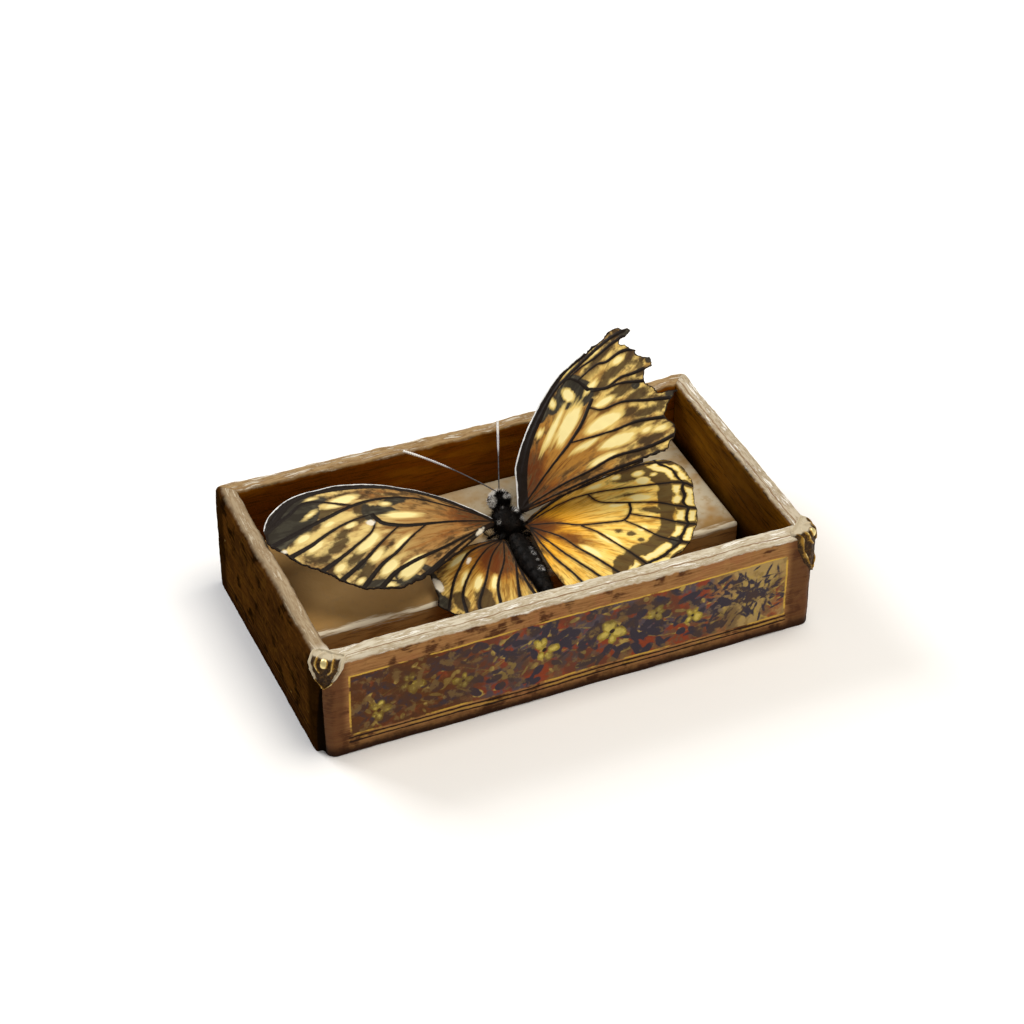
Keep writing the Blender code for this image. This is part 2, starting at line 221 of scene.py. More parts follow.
def make_piece(name, points, faces, fields=None):
    """An object from points in mm, faces, and numbers for each point."""
    mesh = bpy.data.meshes.new(name)
    mesh.from_pydata((np.asarray(points) * MM).tolist(), [], faces)
    carry(mesh, fields or {})
    mesh.shade_smooth()
    mesh.update()
    return add_object(name, mesh)


def put_in_place(piece, material, slot, *stands_for):
    """Finish a piece: its material, the body that it rides on and what it replaces. The slot is not used.
    """
    if material:
        piece.data.materials.clear()
        piece.data.materials.append(material)
    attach(piece, "root")
    if stands_for:
        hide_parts(*stands_for)
    print(piece.name, sum(len(face.vertices) - 2 for face in piece.data.polygons), "triangles")


def lumps(points, size, seed):
    """Smooth noise from -1 to 1 at points in mm, with lumps of a size in mm."""
    cell = np.asarray(points) / size + seed * 7.31
    low = np.floor(cell)
    blend = cell - low
    blend = blend * blend * (3 - 2 * blend)
    total = np.zeros(len(cell))
    for corner in np.ndindex(2, 2, 2):
        chance = np.sin((low + corner) @ (127.1, 311.7, 74.7) + seed) * 43758.5453
        weight = np.prod(np.where(np.array(corner) == 1, blend, 1 - blend), axis=1)
        total += weight * (2 * (chance - np.floor(chance)) - 1)
    return total


def push(points, size, seed):
    """The same noise three times, as steps in x, y and z."""
    return np.stack([lumps(points, size, seed + axis) for axis in range(3)], 1)


def cos_sin(degrees):
    angle = math.radians(degrees)
    return math.cos(angle), math.sin(angle)


def ease(values, start, end):
    """0 up to start, 1 from end, and smooth between them."""
    t = np.clip((np.asarray(values) - start) / (end - start), 0, 1)
    return t * t * (3 - 2 * t)


def keep_in_box(points):
    """Hold points inside the CAD model's box."""
    return np.clip(points, cad_low / MM, cad_high / MM)


def grid_faces(rows, columns, wrap=False):
    """Quads between the points of a grid, whose rows may close into a ring."""
    faces = []
    for i in range(rows if wrap else rows - 1):
        a, b = i * columns, (i + 1) % rows * columns
        faces += [(a + j, a + j + 1, b + j + 1, b + j) for j in range(columns - 1)]
    return faces


def join_shells(shells):
    """Points and faces of several closed shells as one."""
    points, faces, start = [], [], 0
    for shell_points, shell_faces in shells:
        points.append(np.asarray(shell_points, dtype=float))
        faces += [tuple(start + i for i in face) for face in shell_faces]
        start += len(shell_points)
    return np.concatenate(points), faces


print("mesh helpers ready")

# %% [markdown]
# ## Camera, floor and light
# The picture looks down at about 38 degrees, with the tray turned 23 degrees, through a long
# lens. The floor is plain and nearly white. The light is soft and comes mostly from above and
# behind, so the rims and the wings' front edges shine, and a large fill keeps the front clear.
# Both also carry painted highlights in their colours.

# %% Camera, floor and lights
TURN, RISE = -23.27, 37.6      # degrees round the tray and above the floor
LENS, CAMERA_AWAY, AIM_UP = 107.1, 660.5, 19.28      # mm; the aim is moved up the picture
FLOOR = 3000      # mm from the middle to each side


def aim(thing, place, target):
    thing.location = place
    thing.rotation_euler = (Vector(target) - Vector(place)).to_track_quat("-Z", "Y").to_euler()


(turn_x, turn_y), (level, steep) = cos_sin(TURN), cos_sin(RISE)
back = Vector((turn_y * level, -turn_x * level, steep))
up = back.cross(Vector((turn_x, turn_y, 0)))
camera = add_object("camera", bpy.data.cameras.new("camera"))
camera.data.lens = LENS
camera.data.clip_start = 0.01
centre = Vector((0, SET_BACK, 0)) * MM + up * AIM_UP * MM
aim(camera, centre + back * CAMERA_AWAY * MM, centre)
scene = bpy.context.scene
scene.camera = camera
scene.view_settings.view_transform = "Standard"

LIGHTS = {   # place in m, size in m, power in W, colour
    "back_left": ((-0.35, 0.55, 0.50), 0.30, 3.8, "FFFFFF"),
    "above": ((0.20, -0.05, 0.80), 0.45, 4.2, "FFF8EC"),
    "front_fill": ((0.35, -0.75, 0.35), 0.80, 3.2, "FFF4E4"),
}
for name, (place, size, power, hex_code) in LIGHTS.items():
    lamp = bpy.data.lights.new(name, "AREA")
    lamp.size, lamp.energy, lamp.color = size, power, linear(hex_code)[:3]
    aim(add_object(name, lamp), place, (0, 0, 0.01))

world = bpy.data.worlds.new("studio")
world.use_nodes = True
sky = world.node_tree.nodes["Background"]
sky.inputs["Color"].default_value = linear("FBFCFF")
sky.inputs["Strength"].default_value = 0.26
scene.world = world

corners = [(x * FLOOR, y * FLOOR, -0.02) for x, y in ((-1, -1), (1, -1), (1, 1), (-1, 1))]
floor = make_piece("floor", corners, [(0, 1, 2, 3)])
finish, tree, shader = new_finish("matt_white_paper_backdrop", Roughness=0.9)
connect(shader, Base_Color=paint("FFFFFF", [(grain(tree, 300), "FAFAFA")]))
floor.data.materials.append(finish)
floor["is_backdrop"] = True
print("camera at", [round(v, 3) for v in camera.location])

# %% [markdown]
# ## The four walls
# Each wall is a board with a mitre at both ends, covered with leather paper. One function makes
# all four: a section, from the foot up the outside, over the rim and down the inside, is
# repeated along the wall, and its ends follow the mitre and half of the cut corner. Space itself
# is then warped a little with noise, so that neighbours still meet where the paper buckles.

# %% Sizes of the walls
LONG, WIDE = 56.0, 32.0      # mm, half the tray's length and half its width
WALL, HEIGHT = 4.4, 25.0
INNER_ROUND, CORNER_ROUND = 0.8, 0.9
WALLS = {    # quarter turns, half length, half width across, the cut corner at each end,
             # rounding of the rim's outside, step between stations
    "front_wall": (0, LONG, WIDE, (3.0, 1.5), 1.1, 0.25),
    "right_wall": (1, WIDE, LONG, (1.5, 1.0), 1.5, 0.34),
    "back_wall": (2, LONG, WIDE, (1.0, 1.0), 1.5, 0.50),
    "left_wall": (3, WIDE, LONG, (1.0, 3.0), 2.7, 0.30),
}


def wall_section(rounding):
    """(inward, height) of points round a section, and the way round from the rim's middle."""
    bend = np.linspace(0, math.pi / 2, 9)
    shut = np.linspace(math.pi / 2, 0, 6)[1:]
    parts = [     # the outside, its bend, the rim, the inside's bend, the inside and the foot
        np.stack([np.zeros(78), np.linspace(0, HEIGHT - rounding, 78)], 1)[:-1],
        np.stack([rounding * (1 - np.cos(bend)), HEIGHT - rounding * (1 - np.sin(bend))], 1),
        np.stack([np.linspace(rounding, WALL - INNER_ROUND, 16), np.full(16, HEIGHT)], 1)[1:],
        np.stack([WALL - INNER_ROUND * (1 - np.cos(shut)),
                  HEIGHT - INNER_ROUND * (1 - np.sin(shut))], 1),
        np.stack([np.full(30, WALL), np.linspace(HEIGHT - INNER_ROUND, 0, 30)], 1)[1:],
        np.stack([np.linspace(WALL, 0, 7), np.zeros(7)], 1)[1:-1],
    ]
    section = np.concatenate(parts)
    steps = np.linalg.norm(np.diff(section, axis=0, prepend=section[:1]), axis=1)
    way = np.cumsum(steps)
    middle = np.argmin(np.abs(section[:, 0] - WALL / 2) + (HEIGHT - section[:, 1]))
    return section, way - way[middle]


def buckle(points):
    """Warp space: broad dents, small lumps, chips along the rim, a ragged foot and a split."""
    x, y, z = points.T
    near_rim, foot = ease(z, 22.5, 24.5), 1 - ease(z, 0.5, 3.0)
    for size, amount, seed in ((16.0, 0.22, 1), (3.6, 0.07, 5), (1.1, 0.035, 9)):
        amount = amount * (1 + 1.6 * near_rim * (size < 4))
        points = points + push(points, size, seed) * amount[:, None]
    lift = foot * (0.10 + 0.45 * lumps(np.stack([x, y, 0 * z], 1), 8.0, 21)) * ease(x, -52, -40)
    points[:, 2] += np.maximum(lift, 0)
    # the back wall has bent up towards the left
    points[:, 2] += 1.3 * ease(y, 20, 30) * (1 - ease(x, -56, 25)) * z / HEIGHT
    # the split runs down the left part of the cut corner at the front left, wider below
    across = ((x + LONG) - (y + WIDE)) / math.sqrt(2)
    nearness = (x + LONG) + (y + WIDE) < 9
    wide = 0.22 + 0.75 * (1 - ease(z, 2, 18))
    split = np.exp(-((across + 0.55 + 0.4 * (1 - ease(z, 6, 18))) / wide) ** 2)
    split = split * (1 - ease(z, 16.5, 19)) * nearness * 1.1
    points[:, :2] += split[:, None] / math.sqrt(2)
    return points, split


def make_wall(name, flowers=None):
    turns, length, width, cuts, rounding, step = WALLS[name]
    section, way = wall_section(rounding)
    shared, shared_way = wall_section(CORNER_ROUND)
    along = np.linspace(-length + cuts[0] / 2, length - cuts[1] / 2, int(2 * length / step))
    cut = np.where(along < 0, cuts[0], cuts[1])
    reach = length - cut / 2
    own = ease(reach - np.abs(along), 0, 7)
    inward, height = (shared[:, axis:axis + 1] * (1 - own) + section[:, axis:axis + 1] * own
                      for axis in (0, 1))
    way = shared_way[:, None] * (1 - own) + way[:, None] * own
    # the cut corner, rounded where it meets the face
    past = cut - (length - np.abs(along))
    facet = 0.5 * (past + np.sqrt(past * past + 0.16))
    depth = facet + (WALL - facet) * inward / WALL
    share = inward / WALL
    run = along * ((1 - share) * reach + share * (length - WALL)) / reach
    flat = np.stack([run, -width + depth, height], 2).reshape(-1, 3)
    cosine, sine = (1, 0, -1, 0)[turns], (0, 1, 0, -1)[turns]
    placed = np.stack([flat[:, 0] * cosine - flat[:, 1] * sine,
                       flat[:, 0] * sine + flat[:, 1] * cosine, flat[:, 2]], 1)
    placed, split = buckle(placed)
    placed[:, 1] += SET_BACK - 0.3 * ease(placed[:, 1], 24, 31)
    rows, columns = len(section), len(along)
    faces = grid_faces(rows, columns, wrap=True)
    faces.append([i * columns for i in range(rows)])
    faces.append([i * columns + columns - 1 for i in reversed(range(rows))])
    fields = {"along": flat[:, 0], "height": flat[:, 2], "way": way.ravel(), "split": split}
    if flowers:
        fields.update(flowers(flat[:, 0], flat[:, 2], way.ravel() < -WALL / 2 - 0.5))
    return make_piece(name + "_covered", keep_in_box(placed), faces, fields)


print(len(WALLS), "walls to make")

# %% [markdown]
# ## The printed floral band
# A strip of patterned paper is pasted inside the gilt frame on the front: small flowers, leaves
# and berries on a red and plum ground, fading to dark twigs at the right. It is an all-over
# cottage pattern with no picture in it. Flowers and leaves are drawn as distances from their
# outlines, scattered with a fixed seed, so that the finish can wear their edges.

# %% Draw the flowers as distances
BAND = (12.4, 7.8)     # the gilt frame's middle height and half height
PRINTED = ("blossom", "leaf", "frond", "berry", "stem")


def oval(x, z, mark):
    """Distance in mm, roughly, to an oval: middle, half length, half width and turn."""
    centre_x, centre_z, long, wide, turned = mark
    cosine, sine = cos_sin(turned)
    a = ((x - centre_x) * cosine + (z - centre_z) * sine) / long
    b = (-(x - centre_x) * sine + (z - centre_z) * cosine) / wide
    return (np.hypot(a, b) - 1) * min(long, wide)


def nearest(x, z, marks):
    """Distance to the nearest of several ovals."""
    best = np.full(len(x), 9.0)
    for mark in marks:
        best = np.minimum(best, oval(x, z, mark))
    return best


def flower_fields(x, z, on_face):
    """Distances to the blossoms, leaves, berries and stems of the band, off the face too far."""
    chance = random.Random(11)
    blossoms, leaves, fronds, berries = marks = [], [], [], []
    # the blossoms' places along the band, heights and sizes; each has five petals and a middle
    for place, high, size in ((-43.0, 9.4, 2.2), (-36.0, 14.2, 2.4), (-24.5, 11.0, 1.8),
                              (-6.4, 13.0, 2.7), (8.8, 12.9, 2.9), (19.0, 14.8, 1.7),
                              (27.5, 11.4, 2.0)):
        for petal in range(5):
            angle = petal * 72 + chance.uniform(-25, 25)
            out, grown = size * chance.uniform(0.5, 0.8), size * chance.uniform(0.6, 1.1)
            cosine, sine = cos_sin(angle)
            blossoms.append((place + out * cosine, high + out * sine,
                             grown * 0.62, grown * 0.42, angle))
        berries.append((place, high, size * 0.22, size * 0.18, 30))
    # small leaves of all sorts, then dark twigs that spread from one place at the right
    for sort, count, length, width in ((leaves, 190, (0.8, 2.6), (0.35, 1.1)),
                                       (fronds, 110, (0.5, 1.6), (0.25, 0.6))):
        for _ in range(count):
            sort.append((chance.uniform(-48, 36), BAND[0] + chance.uniform(-7, 7),
                         chance.uniform(*length), chance.uniform(*width),
                         chance.uniform(-70, 70)))
    for count, sort, width in ((150, leaves, (0.16, 0.34)), (70, fronds, (0.12, 0.26))):
        for _ in range(count):
            angle, out = chance.uniform(0, 360), chance.uniform(0.5, 9.5)
            cosine, sine = cos_sin(angle)
            sort.append((40.5 + out * cosine, BAND[0] + 0.75 * out * sine,
                         chance.uniform(0.8, 1.9), chance.uniform(*width),
                         angle + chance.uniform(-70, 70)))
    chosen = np.flatnonzero(on_face)
    x, z = x[chosen], z[chosen]
    stem = np.full(len(x), 9.0)
    for swing, size, shift in ((3.2, 6.5, 0.0), (4.6, 9.0, 2.0), (2.2, 4.2, 4.0)):
        slope = np.cos(x / size + shift) * swing / size
        gap = np.abs(z - BAND[0] - swing * np.sin(x / size + shift)) / np.sqrt(1 + slope ** 2)
        stem = np.minimum(stem, gap - 0.14)
    fields = {name: np.full(len(on_face), 9.0) for name in PRINTED}
    for name, values in zip(PRINTED, [nearest(x, z, sort) for sort in marks] + [stem]):
        fields[name][chosen] = values
    return fields


walls = {name: make_wall(name, flower_fields if name == "front_wall" else None) for name in WALLS}
print("points in the front wall:", len(walls["front_wall"].data.vertices))

# %% [markdown]
# ## Leather paper, worn to the card
# Leather paper is thin embossed and varnished paper in leather browns. Handling rubs it through
# to pale card along the rims and corners, and the foot is darker. Its gilt lines are
# thin metal leaf. The eye reads it by the mottled browns, a low satin shine and the whitened
# edges. Heights, lengths and the way round the section come from the mesh, in millimetres.

# %% Leather paper finish
FRAME_INSET, LINE_HEIGHT = 6.8, 3.4    # mm: the gilt frame from a wall's end, the low gilt line


def leather_paper(wall, look):
    finish, tree, shader = new_finish(wall + "_leather_paper", IOR=1.48,
                                      Specular_IOR_Level=look["shine"])
    along, height, way, split = from_mesh(tree, "along", "height", "way", "split")
    place = node(tree, "ShaderNodeCombineXYZ", {"X": along, "Y": height, "Z": way}).outputs[0]
    broad, small, fine = grain(tree, 9, shift=3), grain(tree, 1.3, detail=5), grain(tree, 0.42)
    strokes = grain(tree, 0.6, place, (9, 1, 1), detail=4)
    outside = worn(way, -WALL / 2, 0.2)
    inside = worn(way, WALL / 2 + 0.1, 0.25, 0.3, small, over=True)
    colour = paint(look["face"], [
        (worn(broad, 0.47, 0.10, 0.15, small), look["warm"]),
        (worn(grain(tree, 5, shift=9), 0.42, 0.06, 0.2, strokes), look["dark"]),
        (worn(strokes, 0.42, 0.08, most=0.4), look["dark"]),
        (worn(strokes, 0.58, 0.07, most=0.5, over=True), look["gold"]),
        (worn(grain(tree, 2.2, shift=5), 0.40, 0.05, most=look["mottle"]), look["gold"]),
    ])
    # inside the tray the paper is plainer, and painted darker towards the bottom, a painted shade
    lining = paint(look["lining"], [
        (worn(strokes, 0.44, 0.08), look["lining_dark"]),
        (worn(grain(tree, 7, place, (3, 1, 1)), 0.44, 0.1), look["lining_warm"]),
        # painted shade: the lining darkens below about 13 mm
        (worn(height, 13.0, 3.0, 6, broad), look["lining_dark"]),
    ])
    # distance outwards from the gilt frame, level and upright
    sideways = less(away(along, 0.0), WALLS[wall][1] - FRAME_INSET)
    upwards = less(away(height, BAND[0]), BAND[1])
    framed = node(tree, "ShaderNodeMath", {0: sideways, 1: upwards}, operation="MAXIMUM").outputs[0]
    coats = [(inside, lining),
             (both(outside, worn(sideways, 0.6, 1.2, 1.0, broad, 0.8, over=True)), look["dark"]),
             (both(outside, worn(height, 1.9, 1.4, 1.6, small)), "2A1506")]
    if wall == "front_wall":
        in_band = both(outside, worn(framed, 0.0, 0.08))
        coats += printed_band(tree, in_band, along, broad, small, fine)
    kept = worn(grain(tree, 6, place, (1.5, 1, 1), shift=2), look["gilt"], 0.06, 0.3, small)
    gilt = both(outside, kept, worn(away(framed, 0.0), 0.2, 0.1, 0.25, fine))
    short, from_line = worn(sideways, 0.5, 0.2), away(height, LINE_HEIGHT)
    gilt_low = both(outside, kept, short, worn(from_line, 0.16, 0.1, 0.2, fine))
    stripe = both(outside, short, worn(away(from_line, 0.55), 0.2, 0.1, 0.25, small))
    # the rim, rubbed through to the card, with a brown line where the layers of card meet, pale
    # streaks of painted highlight, and a painted highlight that whitens it towards a corner
    rubbed = worn(away(way, look["rim_middle"]), look["rim_half"], look["rim_soft"], 0.9, small)
    layer = worn(away(way, look["layer_at"]), 0.16, 0.10, 0.40, strokes, look["layer"])
    rim_coats = [(worn(strokes, 0.5, 0.12, 0.25, small, 0.75), look["rim_shade"]),
                 # painted highlight: pale streaks along the rim, brightest on the front
                 (worn(strokes, 0.40, 0.06, 0.1, fine, 0.8), look["rim_painted_highlight"]),
                 # painted highlight: the left rim whitens towards its front corner
                 (worn(along, look["painted_highlight_from"], 2.5, 2.0, small, over=True), "E0DBCC"),
                 (layer, "7A5834")]
    coats += [(stripe, "1E120A"), (gilt, "C09A42"), (gilt_low, "A8843A"), (rubbed, look["rim"])]
    coats += [(both(rubbed, mask), ink) for mask, ink in rim_coats]
    # painted shade: the split is painted near black inside
    coats += [(worn(split, 0.35, 0.2, 0.2, small, over=True), "120A04")]
    connect(shader, Base_Color=paint(colour, coats),
            Roughness=dull(0.52, [(small, 0.66), (rubbed, 0.9), (gilt, 0.36), (inside, 0.7)]),
            Metallic=dull(0.0, [(gilt, 0.7)]),
            Normal=emboss([(small, 0.10), (strokes, 0.06), (fine, 0.04)]))
    return finish


def printed_band(tree, in_band, along, broad, small, fine):
    """Coats for the printed paper: ground, leaves, fronds, blossoms and rubbed places."""
    to_left = worn(along, -24.0, 8.0, 10, broad)
    to_right = worn(along, 34.0, 5.0, 8, broad, over=True)
    red = worn(grain(tree, 4.5, shift=14), 0.50, 0.05, 0.25, small, most=0.9)
    blossom, leaf, frond, berry, stem = from_mesh(tree, *PRINTED)
    layers = [
        (worn(broad, 0.5, 0.05, 0.1, small), "50464C"),
        (red, "843A22"),
        (both(to_left, worn(broad, 0.60, 0.1, 0.2, small)), "60381C"),
        (both(to_right, worn(broad, 0.62, 0.1, 0.3, small)), "A08654"),
        (worn(stem, 0.0, 0.1, 0.6, small, 0.6), "94803E"),
        (worn(frond, 0.0, 0.12, 0.7, small), "A68C4A"),
        (worn(leaf, 0.0, 0.12, 0.8, small), "38323A"),
        (worn(blossom, 0.05, 0.2, 1.1, small), "988434"),
        (worn(blossom, -0.35, 0.2, 1.0, fine), "C0AC56"),
        (worn(berry, 0.0, 0.1, 0.6, small), "231B18"),
        (worn(grain(tree, 7, shift=33), 0.45, 0.06, 0.15, small, most=0.6), "4A382C"),
        (both(to_left, worn(small, 0.58, 0.12, most=0.75)), "4E301A"),
        (worn(grain(tree, 3.2, shift=21), 0.41, 0.05, most=0.6), "78603A"),
    ]
    return [(in_band, "6A4834")] + [(both(in_band, mask), ink) for mask, ink in layers]


PLAIN = dict(face="5A3A16", warm="6A4418", dark="33200C", gold="7A5C24", mottle=0.8, shine=0.04,
             painted_highlight_from=99, gilt=0.45, rim_soft=0.5)
# painted light and shade: the walls share one leather paper, painted lighter on the front and far darker
# on the left wall, the side turned from the light
LOOKS = {
    "front_wall": dict(PLAIN, face="90663C", warm="92623C", dark="4C2C16", gold="A67C4A",
                       mottle=0.25, shine=0.06, gilt=0.52,
                       lining="7A440A", lining_warm="844E10", lining_dark="582E04",
                       rim="CEC5B0", rim_shade="907850", rim_painted_highlight="F6F4EA",
                       rim_middle=-0.15, rim_half=2.45, rim_soft=0.3, layer_at=-1.0, layer=0.8),
    "right_wall": dict(PLAIN, lining="6C4202", lining_warm="7E5208", lining_dark="442800",
                       rim="C0B49E", rim_shade="846E4C", rim_painted_highlight="F4F2EA",
                       rim_middle=-0.5, rim_half=2.1, layer_at=0.6, layer=0.7),
    "back_wall": dict(PLAIN, lining="6A3600", lining_warm="7C4802", lining_dark="502A00",
                      rim="A48A64", rim_shade="745632", rim_painted_highlight="D8CFBC",
                      rim_middle=-0.6, rim_half=2.6, layer_at=1.2, layer=0.4),
    "left_wall": dict(PLAIN, face="38200A", warm="46290C", dark="1C0E02", gold="563810",
                      mottle=0.4, shine=0.0, painted_highlight_from=27, gilt=0.28,
                      lining="744810", lining_warm="845418", lining_dark="5A360C",
                      rim="A8967A", rim_shade="7E6444", rim_painted_highlight="C8BCA4",
                      rim_middle=0.6, rim_half=1.4, rim_soft=0.8, layer_at=-1.2, layer=0.0),
}
for name, piece in walls.items():
    put_in_place(piece, leather_paper(name, LOOKS[name]), "wall_leather", name)

# %% [markdown]
# ## Pad and bottom board
# The pad is a block of soft board with paper pasted over its top. Its front edge is left raw and
# brown, and a pale highlight is painted along the paper's front edge, with painted shade over the
# pad's left part. A block with rounded edges is a grid on each of its six sides, pulled in towards
# a smaller block by a fixed radius.

# %% A rounded block, made as a grid
def rounded_block(low, high, radius, step):
    """Points and faces of a block with rounded edges and corners, in mm."""
    low, high = np.array(low, dtype=float), np.array(high, dtype=float)
    marks = []
    for a, b in zip(low, high):
        middle = np.linspace(a + radius, b - radius, max(2, int((b - a - 2 * radius) / step)))
        marks.append(np.concatenate([np.linspace(a, a + radius, 5)[:-1], middle,
                                     np.linspace(b - radius, b, 5)[1:]]))
    sides = []
    for axis in range(3):
        one, two = (axis + 1) % 3, (axis + 2) % 3
        p, q = np.meshgrid(marks[one], marks[two], indexing="ij")
        faces = grid_faces(*p.shape)
        for value, outward in ((low[axis], faces), (high[axis], [face[::-1] for face in faces])):
            side = np.zeros((p.size, 3))
            side[:, axis], side[:, one], side[:, two] = value, p.ravel(), q.ravel()
            sides.append((side, outward))
    points, faces = join_shells(sides)
    # the sides share their edges, so points at the same place become one
    _, first, number = np.unique(np.round(points, 5), axis=0, return_index=True,
                                 return_inverse=True)
    points, number = points[first], number.ravel().tolist()
    core = np.clip(points, low + radius, high - radius)
    outwards = points - core
    size = np.linalg.norm(outwards, axis=1, keepdims=True)
    return (core + outwards / np.maximum(size, 1e-9) * radius,
            [[number[i] for i in face] for face in faces])


PAD_LOW, PAD_HIGH = (-51.3, -8.0 + SET_BACK, 2.3), (50.3, 27.3 + SET_BACK, 12.0)
BOARD_LOW, BOARD_HIGH = (-51.3, -27.3 + SET_BACK, 0.0), (51.3, 27.3 + SET_BACK, 2.0)
points, faces = rounded_block(PAD_LOW, PAD_HIGH, 0.9, 0.7)
top = ease(points[:, 2], 10.5, 11.9)
points[:, 2] += top * (0.12 * lumps(points, 11, 31) + 0.05 * lumps(points, 2.4, 33) - 0.12)
points[:, 1] += (1 - top) * 0.1 * lumps(points, 2.0, 37)
front_lip = np.hypot(points[:, 1] - (PAD_LOW[1] + 0.35), points[:, 2] - (PAD_HIGH[2] - 0.35))
pad = make_piece("mounting_pad_papered", points, faces,
                 {"height": points[:, 2], "lip": front_lip, "along": points[:, 0],
                  "depth": points[:, 1] - PAD_LOW[1]})
board_points, board_faces = rounded_block(BOARD_LOW, BOARD_HIGH, 0.25, 1.2)
board_points[:, 2] += ease(board_points[:, 2], 1.7, 2.0) * 0.05 * (lumps(board_points, 4, 41) - 1)
board = make_piece("bottom_board_card", board_points, board_faces)
print("pad points:", len(points))

# %% [markdown]
# ## Old paper and raw card
# The paper is a dull cream, foxed brown in patches, with a soft sheen and a pale painted highlight
# along its front edge, and a painted shade over its left part, under the wings. Raw card is
# brown-grey fibre with no shine at all, so it gets a high roughness and a fibre grain about a
# third of a millimetre across.

# %% Pad and board finishes
finish, tree, shader = new_finish("old_pasted_paper", IOR=1.45, Specular_IOR_Level=0.2)
height, lip, depth, along = from_mesh(tree, "height", "lip", "depth", "along")
broad, small, fibre = grain(tree, 12), grain(tree, 1.6, detail=5), grain(tree, 0.33)
brushed = grain(tree, 0.9, stretch=(9, 1, 1))
foxed = worn(broad, 0.45, 0.12, 0.1, small)
# painted shade: the pad's left part, under the wings, is painted browner
left_painted_shade = worn(along, -6.0, 16.0, 12.0, broad)
raw = worn(height, 10.9, 0.35, 0.7, small)
# painted highlight: a pale brushed streak along the paper's front edge
lip_painted_highlight = worn(lip, 0.7, 0.5, 4.5, brushed, most=0.9)
colour = paint("C2B59A", [
    (left_painted_shade, "B48E56"),
    (foxed, "AC864E"),
    (worn(small, 0.40, 0.06, most=0.4), "A48658"),
    (worn(depth, 1.7, 1.2, 1.5, broad), "98784A"),
    (raw, "B88E54"),
    (both(raw, worn(brushed, 0.45, 0.08)), "8E6636"),
    (lip_painted_highlight, "F0E6CC"),
])
connect(shader, Base_Color=colour, Roughness=dull(0.75, [(lip_painted_highlight, 0.5), (raw, 0.95)]),
        Normal=emboss([(small, 0.06), (fibre, 0.02)]))
put_in_place(pad, finish, "pad_paper", "mounting_pad")

finish, tree, shader = new_finish("raw_grey_card", IOR=1.45, Specular_IOR_Level=0.2)
fibre = grain(tree, 0.4, detail=5)
colour = paint("A07A48", [(worn(grain(tree, 8), 0.48, 0.1), "846036"),
                          (worn(fibre, 0.42, 0.05), "B8935F")])
connect(shader, Base_Color=colour, Roughness=dull(0.9, [(fibre, 0.97)]),
        Normal=emboss([(fibre, 0.05)]))
put_in_place(board, finish, "board_card", "bottom_board")

# %% [markdown]
# ## Corner caps
# The two front corners wear small shields of stamped brass, each with a raised border and a
# bead. A cap wraps over the rim and round the cut corner, so it is a grid over the shield, laid
# on the corner's path at a height that holds the relief, and buckled with the walls.

# %% Make a cap as a stamped shell
CAP_PROUD, CAP_DEPTH = 0.8, 5.2
CAPS = {   # side, cut corner, half width, height, and how far it is set towards the front
    "corner_cap_left": (-1, 3.0, 4.6, 7.6, 0.7),
    "corner_cap_right": (1, 1.5, 4.4, 11.5, 0.0),
}
SHIELD_DOWN, SHIELD_HALF = (0.0, 0.35, 0.72, 1.0), (0.78, 0.72, 0.43, 0.0)     # shares of the cap


def corner_path(across, proud, cut):
    """Where a place across the corner lies in x and y, standing proud of the wall."""
    flat, side = cut - proud * math.sqrt(2), np.abs(across) * math.sqrt(2) - 2 * proud
    level = 0.5 * (flat + side + np.sqrt((flat - side) ** 2 + 0.05))
    return (level + across * math.sqrt(2)) / 2, (level - across * math.sqrt(2)) / 2


